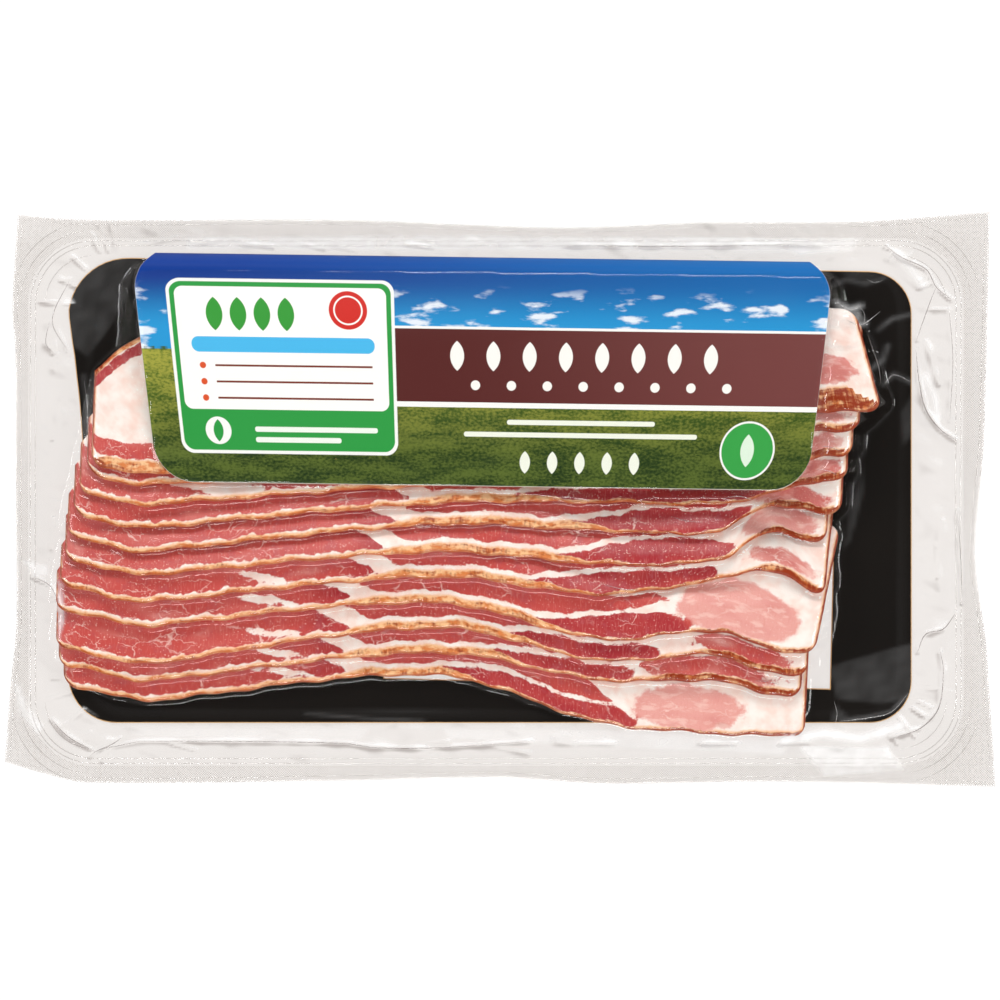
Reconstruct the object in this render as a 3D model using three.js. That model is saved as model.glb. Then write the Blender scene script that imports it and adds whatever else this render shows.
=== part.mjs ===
// A sealed pack of sliced bacon, lying flat with its label up.
// One closed body: the clear film, drawn tight over a card board, eleven shingled slices and
// the label flap that folds over them. Its wavy flange is a thin sheet round the outside.
// Millimetres. X runs along the slices, Y across them towards the fold, Z up from the table.

import * as THREE from 'three';

// Cut edge of the film: knots of a smooth curve for each side
const filmEdge = {
  top: [[-149.0, 87.9], [-128, 86.5], [-50, 86.5], [18.5, 84.2], [64, 85.7], [111.5, 86.0],
    [151.2, 88.8]],
  bottom: [[-153.1, -81.1], [-140.8, -84.8], [-128, -87.6], [-50, -87.0], [0, -86.0], [31, -87.9],
    [86, -87.3], [153.1, -88.8]],
  left: [[-81.1, -153.1], [-56.3, -151.5], [-38.6, -149.8], [0, -149.8], [45.7, -150.1], [59.4, -151.0],
    [87.9, -149.0]],
  right: [[-88.8, 153.1], [-68.7, 151.8], [-44.8, 150.3], [-17.2, 146.9], [18.4, 149.7], [88.8, 151.2]],
};
const flange = {
  sheet: 1.0,          // thickness of the two webs where they are sealed together
  level: 1.3,          // height of the sheet's lower face above the table
  wave: 1.2,           // height of its waves
  rippleRun: 13.5,     // length of the short waves, for each radian
  swellRun: 19,        // and of the long ones
  ripplePhase: 0.6,    // where the waves start, in radians
  swellPhase: -0.4,
  cornerLift: 2.2,     // how far each corner curls up
  cornerReach: 34,     // how far in from a corner the curl starts
  rise: 17,            // run over which the lower web leaves the table
  fade: 8,             // run inside the board's edge over which the sheet merges with the pack
};

// Card board under the slices
const board = { left: -130.5, right: 127.5, bottom: -69.5, top: 74, corner: 15, level: 0.8 };

// Label flap: folded at the board's top edge, lying on the slices
const label = {
  left: -113.5, right: 102.5, lower: 3.9, crease: 70.4, corner: 12,
  taper: 0.083,        // share of its width that it loses down to its lower edge
  tilt: -0.014,        // slope of its edges across the pack
  creaseHeight: 5, topHeight: 19.2,
  bend: 1.8,           // angle of its rise from the crease to the lower edge, in radians
};

// Slices, from the lowest in the stack to the topmost. Each has its two ends, its width at each
// end, and the height on the pack of its lower edge at the stations along it.
const stations = [-108.6, -18.7, 30.9, 66.6, 82.1, 99.1];
const slices = [
  { ends: [-135.2, 94.2], widths: [39, 40], edge: [-62.5, -54.7, -69.3, -72.7, -73.3, -73.3] },
  { ends: [-136.5, 92.9], widths: [39, 39], edge: [-56.3, -47.6, -56.0, -56.3, -60.0, -62.2] },
  { ends: [-137.1, 94.8], widths: [39, 39], edge: [-51.0, -39.8, -49.8, -48.2, -53.5, -55.3] },
  { ends: [-137.1, 96.7], widths: [38, 40], edge: [-39.2, -32.1, -43.2, -40.8, -46.0, -48.2] },
  { ends: [-135.8, 99.8], widths: [38, 38], edge: [-31.8, -24.0, -29.3, -25.0, -21.9, -30.5] },
  { ends: [-134.3, 100.4], widths: [39, 37], edge: [-23.4, -16.3, -20.0, -18.8, -10.7, -13.8] },
  { ends: [-133.4, 105.3], widths: [39, 37], edge: [-16.3, -7.9, -9.8, -10.1, -2.3, -4.8] },
  { ends: [-131.5, 106.9], widths: [40, 36], edge: [-9.1, -1.4, -1.1, -1.7, 1.4, 5.7] },
  { ends: [-129.6, 108.4], widths: [41, 36], edge: [-2.0, 4.2, 4.8, 6.0, 9.8, 12.9] },
  { ends: [-127.2, 110.6], widths: [42, 35], edge: [4.2, 8.8, 9.8, 13.8, 18.4, 20.9] },
  { ends: [-125.6, 117.7], widths: [43.5, 32], edge: [7.6, 13.8, 16.0, 21.5, 26.2, 26.8] },
];
const cut = {
  thickness: 2.95,
  endThinning: 0.2,    // share of the thickness that a slice loses at its ends
  thinRun: 30,
  endRadius: 5.5,      // rounding of a slice's corners
  shoulder: { run: 24, drop: 30 },       // how the upper left corner of a slice slants away
  topShoulder: { run: 15, drop: 14 },    // and that of the topmost
  leftLift: 4.5,       // how far the lower edge rises towards the left end
  liftRun: 27,
  sagAlong: 0.25,      // steepest lie along the slice, as a slope
  sagAcross: 0.5,      // and across it
};
const filmSlope = 1.7; // steepest fall of the film beside what it covers

// Spacing of the height table
const cell = { x: 1.5, y: 0.5 };
const reach = { x: 156, y: 92 };

// Columns and rows of the surface
const grid = {
  halfLength: 150,     // nominal, before the sides follow the cut edge
  halfWidth: 87,
  edgeReach: 30,       // how far in the columns lean with the cut edge
  flangeSteps: 3,
  sealInset: 9,        // width of the flange sheet
  risingColumns: 3,    // columns at each side before the flat base starts
  columnStep: 3.8,
  labelRows: 6,
  aboveEdge: 0.5,      // a row just inside each slice's edge, and one at its foot
  belowEdge: 1.5,
};

const { clamp, lerp } = THREE.MathUtils;

function ease(t) {
  const s = clamp(t, 0, 1);
  return s * s * (3 - 2 * s);
}

// Smooth curve through knots whose first values rise
function curveThrough(knots) {
  const last = knots.length - 1;
  const slope = (a, b) => (knots[b][1] - knots[a][1]) / (knots[b][0] - knots[a][0]);
  const tangents = knots.map((_, n) => slope(Math.max(n - 1, 0), Math.min(n + 1, last)));
  return (x) => {
    if (x <= knots[0][0]) return knots[0][1];
    if (x >= knots[last][0]) return knots[last][1];
    let n = 0;
    while (x > knots[n + 1][0]) n += 1;
    const [x0, y0] = knots[n];
    const [x1, y1] = knots[n + 1];
    const run = x1 - x0;
    const t = (x - x0) / run;
    const t2 = t * t;
    const t3 = t2 * t;
    return (2 * t3 - 3 * t2 + 1) * y0 + (t3 - 2 * t2 + t) * run * tangents[n]
      + (3 * t2 - 2 * t3) * y1 + (t3 - t2) * run * tangents[n + 1];
  };
}

const edgeCurves = slices.map((slice) => curveThrough(stations.map((x, n) => [x, slice.edge[n]])));
const side = {
  top: curveThrough(filmEdge.top),
  bottom: curveThrough(filmEdge.bottom),
  left: curveThrough(filmEdge.left),
  right: curveThrough(filmEdge.right),
};

// Lower edge of slice n, which rises a little towards its left end
function lowerEdge(n, x) {
  return edgeCurves[n](x) + cut.leftLift * ease((stations[0] - x) / cut.liftRun);
}

// Lower and upper limits of slice n at x, drawn in round its two ends
function sliceSpan(n, x) {
  const { ends, widths } = slices[n];
  const fromEnd = Math.min(x - ends[0], ends[1] - x);
  if (fromEnd <= 0) return null;
  const short = Math.max(cut.endRadius - fromEnd, 0);
  const inset = cut.endRadius - Math.sqrt(cut.endRadius ** 2 - short ** 2);
  const share = (x - ends[0]) / (ends[1] - ends[0]);
  const { run, drop } = n === slices.length - 1 ? cut.topShoulder : cut.shoulder;
  const slant = drop * clamp(1 - (x - ends[0]) / run, 0, 1) ** 1.3;
  const low = lowerEdge(n, x);
  return [low + inset, low + lerp(widths[0], widths[1], share) - Math.max(inset, slant)];
}

// Thickness of slice n at x, a little less near its ends
function sliceThickness(n, x) {
  const { ends } = slices[n];
  const fromEnd = Math.min(x - ends[0], ends[1] - x);
  return cut.thickness * (1 - cut.endThinning * ease(1 - fromEnd / cut.thinRun));
}

// A table of heights over the pack
class HeightTable {
  constructor(level) {
    this.columns = Math.round((2 * reach.x) / cell.x) + 1;
    this.rows = Math.round((2 * reach.y) / cell.y) + 1;
    this.heights = new Float64Array(this.columns * this.rows).fill(level);
  }

  x(i) { return i * cell.x - reach.x; }

  y(j) { return j * cell.y - reach.y; }

  // Calls visit(x, y, index) for every place in the table
  each(visit) {
    for (let i = 0; i < this.columns; i += 1) {
      for (let j = 0; j < this.rows; j += 1) visit(this.x(i), this.y(j), i * this.rows + j);
    }
  }

  // The lowest surface over this one whose slopes stay under the two given
  draped(slopeX, slopeY) {
    const out = new HeightTable(0);
    out.heights.set(this.heights);
    const sweep = (lineCount, length, lineStep, step, drop) => {
      for (let line = 0; line < lineCount; line += 1) {
        for (let n = 1; n < length; n += 1) {
          const at = line * lineStep + n * step;
          out.heights[at] = Math.max(out.heights[at], out.heights[at - step] - drop);
        }
        for (let n = length - 2; n >= 0; n -= 1) {
          const at = line * lineStep + n * step;
          out.heights[at] = Math.max(out.heights[at], out.heights[at + step] - drop);
        }
      }
    };
    sweep(this.columns, this.rows, this.rows, 1, slopeY * cell.y);
    sweep(this.rows, this.columns, 1, this.rows, slopeX * cell.x);
    return out;
  }

  // Height between the table's places
  at(x, y) {
    const u = clamp((x + reach.x) / cell.x, 0, this.columns - 1.001);
    const v = clamp((y + reach.y) / cell.y, 0, this.rows - 1.001);
    const i = Math.floor(u);
    const j = Math.floor(v);
    const h = (a, b) => this.heights[(i + a) * this.rows + j + b];
    const lower = lerp(h(0, 0), h(1, 0), u - i);
    const upper = lerp(h(0, 1), h(1, 1), u - i);
    return lerp(lower, upper, v - j);
  }
}

// Distance of a point outside a rectangle with round corners, less than nothing inside it
function outside(x, y, box, radius) {
  const dx = Math.abs(x - (box.left + box.right) / 2) - (box.right - box.left) / 2 + radius;
  const dy = Math.abs(y - (box.bottom + box.top) / 2) - (box.top - box.bottom) / 2 + radius;
  const past = Math.hypot(Math.max(dx, 0), Math.max(dy, 0));
  return past + Math.min(Math.max(dx, dy), 0) - radius;
}

function stackSlices() {
  const table = new HeightTable(board.level);
  slices.forEach((slice, n) => {
    const lie = table.draped(cut.sagAlong, cut.sagAcross);
    table.each((x, y, at) => {
      const span = sliceSpan(n, x);
      if (span && y >= span[0] && y <= span[1]) {
        table.heights[at] = lie.heights[at] + sliceThickness(n, x);
      }
    });
  });
  return table;
}

// Wavy level of the flange's lower face
function flangeLevel(x, y) {
  const along = Math.sin(x / flange.rippleRun + flange.ripplePhase);
  const across = Math.cos(y / flange.swellRun + flange.swellPhase);
  const swell = 0.5 * Math.sin((x + 2 * y) / (2 * flange.swellRun));
  const toCorner = Math.hypot(grid.halfLength - Math.abs(x), grid.halfWidth - Math.abs(y));
  const curl = flange.cornerLift * ease(1 - toCorner / flange.cornerReach);
  return flange.level + (flange.wave * (1.5 + along * across + swell)) / 3 + curl;
}

// Height of the label flap, or nothing outside it: steep near its crease, level on the slices.
// It is square at the crease, its two lower corners round.
function labelHeight(x, y) {
  const { left, right, lower, crease, corner } = label;
  const straight = y - label.tilt * x;
  const down = clamp((crease - straight) / (crease - lower), 0, 1);
  const middle = (left + right) / 2;
  const flap = { left, right, bottom: lower, top: crease + corner };
  const spread = middle + (x - middle) / (1 - label.taper * down);
  if (straight > crease || outside(spread, straight, flap, corner) > 0) return 0;
  return lerp(label.creaseHeight, label.topHeight, Math.sin(label.bend * down));
}

function contentsSurface() {
  const table = stackSlices();
  table.each((x, y, at) => {
    table.heights[at] = Math.max(table.heights[at], labelHeight(x, y));
  });
  return table.draped(filmSlope, filmSlope);
}

// Places of the columns: the flange, then even steps across the pocket
function columnPlaces() {
  const edge = grid.halfLength;
  const seal = edge - grid.sealInset;
  const count = Math.round((2 * seal) / grid.columnStep);
  const places = [];
  const addEven = (from, to, steps) => {
    for (let n = 0; n < steps; n += 1) places.push(lerp(from, to, n / steps));
  };
  addEven(-edge, -seal, grid.flangeSteps);
  addEven(-seal, seal, count);
  addEven(seal, edge, grid.flangeSteps);
  places.push(edge);
  return places;
}

// Rows from the bottom edge to the top, each a height on the pack as a function of x
function rowCurves() {
  const rows = [];
  const blend = (from, to, share) => (x) => lerp(from(x), to(x), share);
  const lowSeal = (x) => side.bottom(x) + grid.sealInset;
  const highSeal = (x) => side.top(x) - grid.sealInset;
  const addEven = (from, to, steps) => {
    for (let n = 0; n < steps; n += 1) rows.push(blend(from, to, n / steps));
  };
  addEven(side.bottom, lowSeal, grid.flangeSteps);
  rows.push(lowSeal);
  slices.forEach((_, n) => {
    rows.push((x) => lowerEdge(n, x) - grid.belowEdge);
    rows.push((x) => lowerEdge(n, x) + grid.aboveEdge);
  });
  const topSlice = rows.pop();
  addEven(topSlice, () => label.crease - grid.belowEdge, grid.labelRows);
  rows.push(() => label.crease - grid.belowEdge);
  rows.push(() => board.top + grid.aboveEdge);
  addEven(highSeal, side.top, grid.flangeSteps);
  rows.push(side.top);
  return rows;
}

// Plan of the surface: columns of points, the outer columns following the cut side edges
function surfacePlan() {
  const rows = rowCurves();
  const nominal = grid.halfLength;
  return columnPlaces().map((place) => rows.map((row) => {
    const share = ease(1 - (nominal - Math.abs(place)) / grid.edgeReach);
    const cutEdge = place < 0 ? side.left(row(place)) + nominal : side.right(row(place)) - nominal;
    const x = place + share * cutEdge;
    return [x, row(x)];
  }));
}

function sealedPackGeometry() {
  const contents = contentsSurface();
  const plan = surfacePlan();
  const lastColumn = plan.length - 1;
  const lastRow = plan[0].length - 1;
  const positions = [];
  const triangles = [];
  const addPoint = (x, y, z) => positions.push(x, y, z) / 3 - 1;
  const addQuad = (a, b, c, d) => triangles.push(a, b, c, a, c, d);

  const upper = plan.map((column) => column.map(([x, y]) => {
    const fade = ease(outside(x, y, board, board.corner) / flange.fade + 1);
    return addPoint(x, y, Math.max((flangeLevel(x, y) + flange.sheet) * fade, contents.at(x, y)));
  }));
  for (let i = 0; i < lastColumn; i += 1) {
    for (let j = 0; j < lastRow; j += 1) {
      addQuad(upper[i][j], upper[i + 1][j], upper[i + 1][j + 1], upper[i][j + 1]);
    }
  }

  // Lower face: a flat base that rests on the table, inside a ring that rises to the flange
  const base = {
    left: grid.flangeSteps + grid.risingColumns,
    right: lastColumn - grid.flangeSteps - grid.risingColumns,
    bottom: grid.flangeSteps + 1,
    top: lastRow - grid.flangeSteps - 1,
  };
  const inBase = (i, j) => i >= base.left && i <= base.right && j >= base.bottom && j <= base.top;
  const insideBase = (i, j) => i > base.left && i < base.right && j > base.bottom && j < base.top;
  const lower = plan.map((column, i) => column.map(([x, y], j) => {
    if (insideBase(i, j)) return null;
    const rise = ease(outside(x, y, board, board.corner) / flange.rise);
    return addPoint(x, y, inBase(i, j) ? 0 : flangeLevel(x, y) * rise);
  }));
  for (let i = 0; i < lastColumn; i += 1) {
    for (let j = 0; j < lastRow; j += 1) {
      if (!(inBase(i, j) && inBase(i + 1, j + 1))) {
        addQuad(lower[i][j], lower[i][j + 1], lower[i + 1][j + 1], lower[i + 1][j]);
      }
    }
  }

  // The base: long strips across it, and a fan of triangles at each end
  const leftApex = lower[base.left + 1][base.bottom];
  const rightApex = lower[base.right - 1][base.bottom];
  for (let j = base.bottom; j < base.top; j += 1) {
    triangles.push(leftApex, lower[base.left][j], lower[base.left][j + 1]);
    triangles.push(rightApex, lower[base.right][j + 1], lower[base.right][j]);
  }
  triangles.push(leftApex, lower[base.left][base.top], lower[base.left + 1][base.top]);
  triangles.push(rightApex, lower[base.right - 1][base.top], lower[base.right][base.top]);
  for (let i = base.left + 1; i < base.right - 1; i += 1) {
    addQuad(lower[i][base.bottom], lower[i][base.top], lower[i + 1][base.top], lower[i + 1][base.bottom]);
  }

  // The thin wall all round the cut edge
  for (let i = 0; i < lastColumn; i += 1) {
    addQuad(lower[i][0], lower[i + 1][0], upper[i + 1][0], upper[i][0]);
    addQuad(lower[i + 1][lastRow], lower[i][lastRow], upper[i][lastRow], upper[i + 1][lastRow]);
  }
  for (let j = 0; j < lastRow; j += 1) {
    const k = j + 1;
    addQuad(lower[0][k], lower[0][j], upper[0][j], upper[0][k]);
    addQuad(lower[lastColumn][j], lower[lastColumn][k], upper[lastColumn][k], upper[lastColumn][j]);
  }

  const geometry = new THREE.BufferGeometry();
  geometry.setAttribute('position', new THREE.Float32BufferAttribute(positions, 3));
  geometry.setIndex(triangles);
  geometry.computeVertexNormals();
  return geometry;
}

const clearFilm = new THREE.MeshStandardMaterial({ color: '#c9827b', roughness: 0.25, metalness: 0 });
const sealedPack = new THREE.Mesh(sealedPackGeometry(), clearFilm);
sealedPack.name = 'sealed_pack';

const group = new THREE.Group();
group.add(sealedPack);

export default group;
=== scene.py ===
# Sealed bacon pack: clear film over a black card board, shingled slices and a folded label flap.
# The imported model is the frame. Sizes below are millimetres, and mm turns them into metres.
import math

import bmesh
import bpy
import numpy as np
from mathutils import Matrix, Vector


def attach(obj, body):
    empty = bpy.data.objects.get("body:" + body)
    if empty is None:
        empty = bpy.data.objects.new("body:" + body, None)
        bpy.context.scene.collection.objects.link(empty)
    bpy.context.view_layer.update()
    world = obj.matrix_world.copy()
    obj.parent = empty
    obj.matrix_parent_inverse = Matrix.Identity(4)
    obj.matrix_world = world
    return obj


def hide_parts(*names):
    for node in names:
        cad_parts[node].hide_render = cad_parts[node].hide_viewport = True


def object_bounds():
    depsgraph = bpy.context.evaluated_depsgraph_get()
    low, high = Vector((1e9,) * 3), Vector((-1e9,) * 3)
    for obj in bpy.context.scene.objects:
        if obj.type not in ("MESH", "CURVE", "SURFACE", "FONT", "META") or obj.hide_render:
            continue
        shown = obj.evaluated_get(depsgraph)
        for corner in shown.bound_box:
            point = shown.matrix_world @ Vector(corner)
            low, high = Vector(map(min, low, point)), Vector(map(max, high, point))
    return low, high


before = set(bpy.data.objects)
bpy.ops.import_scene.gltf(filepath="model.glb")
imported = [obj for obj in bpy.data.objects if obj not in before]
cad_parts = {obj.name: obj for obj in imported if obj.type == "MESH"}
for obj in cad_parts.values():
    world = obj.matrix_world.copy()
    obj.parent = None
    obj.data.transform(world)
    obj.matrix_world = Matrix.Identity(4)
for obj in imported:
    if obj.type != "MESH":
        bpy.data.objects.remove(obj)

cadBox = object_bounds()
mm = 0.001
cadTop = cadBox[1][2] / mm

scene = bpy.context.scene
scene.view_settings.view_transform = "Standard"


# Helpers for shapes

def ease(t):
    s = np.clip(t, 0.0, 1.0)
    return s * s * (3 - 2 * s)


def curveThrough(knots):             # smooth curve through knots whose first values rise
    px, py = (np.array(part, float) for part in zip(*knots))
    n = np.arange(len(px))
    before, after = np.maximum(n - 1, 0), np.minimum(n + 1, len(px) - 1)
    tangent = (py[after] - py[before]) / (px[after] - px[before])

    def at(x):
        x = np.clip(x, px[0], px[-1])
        k = np.clip(np.searchsorted(px, x, side="right") - 1, 0, len(px) - 2)
        run = px[k + 1] - px[k]
        t = (x - px[k]) / run
        return ((2 * t**3 - 3 * t**2 + 1) * py[k] + (t**3 - 2 * t**2 + t) * run * tangent[k]
                + (3 * t**2 - 2 * t**3) * py[k + 1] + (t**3 - t**2) * run * tangent[k + 1])
    return at


def outside(x, y, box, radius):      # distance outside a box with round corners
    dx = np.abs(x - (box["left"] + box["right"]) / 2) - (box["right"] - box["left"]) / 2 + radius
    dy = np.abs(y - (box["bottom"] + box["top"]) / 2) - (box["top"] - box["bottom"]) / 2 + radius
    past = np.hypot(np.maximum(dx, 0), np.maximum(dy, 0))
    return past + np.minimum(np.maximum(dx, dy), 0) - radius


def ripples(x, y, lengths, seed):    # smooth uneven waves, about -1 to 1
    rng = np.random.default_rng(seed)
    total = np.zeros(np.broadcast(x, y).shape)
    for length in lengths:
        angle, phase = rng.uniform(0, math.tau, 2)
        along = x * math.cos(angle) + y * math.sin(angle)
        across = y * math.cos(angle) - x * math.sin(angle)
        bend = 1.3 * np.sin(across * math.tau / (1.7 * length))
        total += np.sin(along * math.tau / length + phase + bend)
    return total / len(lengths)


# Height tables: every surface is a height over the places of this table

fine = {"halfX": 156.0, "halfY": 92.0, "stepX": 0.75, "stepY": 0.4}
tableX = np.arange(-fine["halfX"], fine["halfX"] + 0.01, fine["stepX"])
tableY = np.arange(-fine["halfY"], fine["halfY"] + 0.01, fine["stepY"])
gridX, gridY = np.meshgrid(tableX, tableY, indexing="ij")


def drape(heights, slopeX, slopeY):  # lowest surface over heights with slopes no steeper
    out = heights
    for axis, drop in ((1, slopeY * fine["stepY"]), (0, slopeX * fine["stepX"])):
        ramp = np.arange(out.shape[axis]) * drop
        ramp = ramp[None, :] if axis == 1 else ramp[:, None]
        rising = np.maximum.accumulate(out + ramp, axis=axis) - ramp
        falling = np.flip(np.maximum.accumulate(np.flip(out - ramp, axis), axis=axis), axis) + ramp
        out = np.maximum(rising, falling)
    return out


def soften(heights, passes):
    for _ in range(passes):
        wide = np.pad(heights, 1, mode="edge")
        rows = (wide[:-2] + 2 * wide[1:-1] + wide[2:]) / 4
        heights = (rows[:, :-2] + 2 * rows[:, 1:-1] + rows[:, 2:]) / 4
    return heights


def heightAt(heights, x, y):
    u = np.clip((x + fine["halfX"]) / fine["stepX"], 0, len(tableX) - 1.001)
    v = np.clip((y + fine["halfY"]) / fine["stepY"], 0, len(tableY) - 1.001)
    i, j = u.astype(int), v.astype(int)
    low = heights[i, j] + (heights[i + 1, j] - heights[i, j]) * (u - i)
    high = heights[i, j + 1] + (heights[i + 1, j + 1] - heights[i, j + 1]) * (u - i)
    return low + (high - low) * (v - j)


# Helpers for meshes

def addObject(name, data):
    piece = bpy.data.objects.new(name, data)
    scene.collection.objects.link(piece)
    return piece


def newPiece(name, points, faces, materials, fields, slots=(0, 0)):   # a slot for each group of faces
    mesh = bpy.data.meshes.new(name)
    points = np.asarray(points, float) * mm
    mesh.vertices.add(len(points))
    mesh.vertices.foreach_set("co", points.ravel())
    corners = np.concatenate([part.ravel() for part in faces])
    sizes = np.concatenate([np.full(len(part), part.shape[1]) for part in faces])
    mesh.loops.add(len(corners))
    mesh.loops.foreach_set("vertex_index", corners.astype(np.int32))
    mesh.polygons.add(len(sizes))
    starts = np.concatenate([[0], np.cumsum(sizes)[:-1]])
    mesh.polygons.foreach_set("loop_start", starts.astype(np.int32))
    used = np.repeat(slots, [len(part) for part in faces])
    mesh.polygons.foreach_set("material_index", used.astype(np.int32))
    mesh.update(calc_edges=True)
    mesh.polygons.foreach_set("use_smooth", np.ones(len(sizes), bool))
    for key, values in fields.items():
        kind, part = ("FLOAT", "value") if values.ndim == 1 else ("FLOAT_VECTOR", "vector")
        mesh.attributes.new(key, kind, "POINT").data.foreach_set(part, values.ravel())
    for material in materials:
        mesh.materials.append(material)
    return addObject(name, mesh)


def quadsOf(index):                  # faces of a grid of point numbers, seen from above
    corners = [index[:-1, :-1], index[1:, :-1], index[1:, 1:], index[:-1, 1:]]
    return np.stack(corners, -1).reshape(-1, 4)


def closedPad(name, x, y, top, under, material, fields):   # two grids that share their rim
    rows, columns = x.shape
    upper = np.arange(rows * columns).reshape(rows, columns)
    lower = upper.copy()
    inner = (rows - 2) * (columns - 2)
    lower[1:-1, 1:-1] = rows * columns + np.arange(inner).reshape(rows - 2, columns - 2)

    def both(over, below):
        width = over.shape[2:]
        return np.concatenate([over.reshape(-1, *width), below[1:-1, 1:-1].reshape(-1, *width)])
    points = both(np.stack([x, y, top], -1), np.stack([x, y, under], -1))
    faces = [quadsOf(upper), quadsOf(lower)[:, ::-1]]
    return newPiece(name, points, faces, [material], {key: both(f, f) for key, f in fields.items()})


# Helpers for materials

def addNode(tree, kind, settings=None, inputs=None, out=0):   # adds a node, and gives its output out
    node = tree.nodes.new(kind)
    for key, value in (settings or {}).items():
        setattr(node, key, value)
    for key, value in (inputs or {}).items():
        if isinstance(value, bpy.types.NodeSocket):
            tree.links.new(value, node.inputs[key])
        else:
            node.inputs[key].default_value = value
    return node.outputs[out] if len(node.outputs) else None


def hexColour(code):
    parts = [int(code[n:n + 2], 16) / 255 for n in (1, 3, 5)]
    linear = [c / 12.92 if c <= 0.04045 else ((c + 0.055) / 1.055) ** 2.4 for c in parts]
    return (*linear, 1.0)


def startMaterial(name):
    material = bpy.data.materials.new(name)
    material.use_nodes = True
    material.node_tree.nodes.clear()
    return material, material.node_tree


def maskOf(tree, share, *bands):     # the share where each band's value is past its end, 0 before its start
    for value, start, end in bands:
        share = addNode(tree, "ShaderNodeMapRange", {"interpolation_type": "SMOOTHSTEP"}, {
            "Value": value, "From Min": start, "From Max": end, "To Max": share})
    return share


def paintOver(tree, colour, *layers):    # lays colours over the first one, each with its share and bands
    for over, share, *bands in layers:
        lower, upper = (hexColour(c) if isinstance(c, str) else c for c in (colour, over))
        colour = addNode(tree, "ShaderNodeMix", {"data_type": "RGBA"},
                         {"Factor": maskOf(tree, share, *bands), 6: lower, 7: upper}, 2)
    return colour


# The film's outline and the level of its sealed flange

filmSize = {             # each edge as places along it and across it
    "top": [(-149.0, 87.9), (-128, 86.5), (-50, 86.5), (18.5, 84.2), (64, 85.7), (111.5, 86.0),
            (151.2, 88.8)],
    "bottom": [(-153.1, -81.1), (-140.8, -84.8), (-128, -87.6), (-50, -87.0), (0, -86.0), (31, -87.9),
               (86, -87.3), (153.1, -88.8)],
    "left": [(-81.1, -153.1), (-56.3, -151.5), (-38.6, -149.8), (0, -149.8), (45.7, -150.1),
             (59.4, -151.0), (87.9, -149.0)],
    "right": [(-88.8, 153.1), (-68.7, 151.8), (-44.8, 150.3), (-17.2, 146.9), (18.4, 149.7),
              (88.8, 151.2)],
    "halfLength": 150.0, "halfWidth": 87.0,
    "level": 1.3, "wave": 1.2, "ripple": 13.5, "swell": 19.0,   # the flange above the table
    "cornerLift": 2.2, "cornerReach": 34.0,
    "flat": 4.0, "rise": 17.0,       # where the lower web leaves the table, and where it meets the flange
    "lowest": 0.02,      # least height of the lower web
    "fade": 8.0,         # over what run the upper web falls away inside the board's edge
    "webGap": 0.45,      # between the lower and the upper web
    "sealStep": 0.12,    # how far the seal bar lifts the flange
    "clearance": 0.1,    # between the film and what it covers
    "headroom": 0.16,    # left under the CAD's top
    "slope": 1.6,        # steepest fall of the film
    "stripX": (30, 0.72, 1.3), "stripY": (19, 0.58, 0.8),   # width and step of the fine strips, step inside
    "edgeReach": (30, 12),          # how far in the waves of the ends and of the sides still show
    "rings": (35, 30),   # columns and rows of the lower web that rise to the flange
}
boardSize = {"left": -130.5, "right": 127.5, "bottom": -69.5, "top": 74.0, "radius": 15.0,
             "lift": 0.12, "thickness": 0.5}
cutEdge = {key: curveThrough(filmSize[key]) for key in ("top", "bottom", "left", "right")}


def flangeLevel(x, y):
    ripple = np.sin(x / filmSize["ripple"] + 0.6) * np.cos(y / filmSize["swell"] - 0.4)
    swell = 0.5 * np.sin((x + 2 * y) / (2 * filmSize["swell"]))
    toCorner = np.hypot(filmSize["halfLength"] - np.abs(x), filmSize["halfWidth"] - np.abs(y))
    curl = filmSize["cornerLift"] * ease(1 - toCorner / filmSize["cornerReach"])
    return filmSize["level"] + filmSize["wave"] * (1.5 + ripple + swell) / 3 + curl


# Slices, from the lowest in the stack to the topmost

stations = [-108.6, -18.7, 30.9, 66.6, 82.1, 99.1]   # where each lower edge is given
sliceCut = {
    "thickness": 2.9, "endThinning": 0.2, "thinRun": 30.0,
    "endRadius": 4.5, "leftLift": 4.5, "liftRun": 27.0,
    "sagAlong": 0.25, "sagAcross": 0.5,
    "edgeRadius": 1.3,   # rounding of the cut edge
    "gap": 0.03,
    "leanReach": 45,     # how far above its lower edge a slice leans
    "relief": 0.16, "unevenness": 0.1,   # how far fat stands over lean, and the waves of the surface
}
usualSlice = {           # what holds where a slice names nothing else
    "ovalTone": 0.3, "lobeHeight": 9.4, "endRind": 0.3, "leftRind": 0.85, "endLean": 0.05,
    "shoulder": (24, 25),   # how the upper left corner slants away: its run and its drop
}
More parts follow.
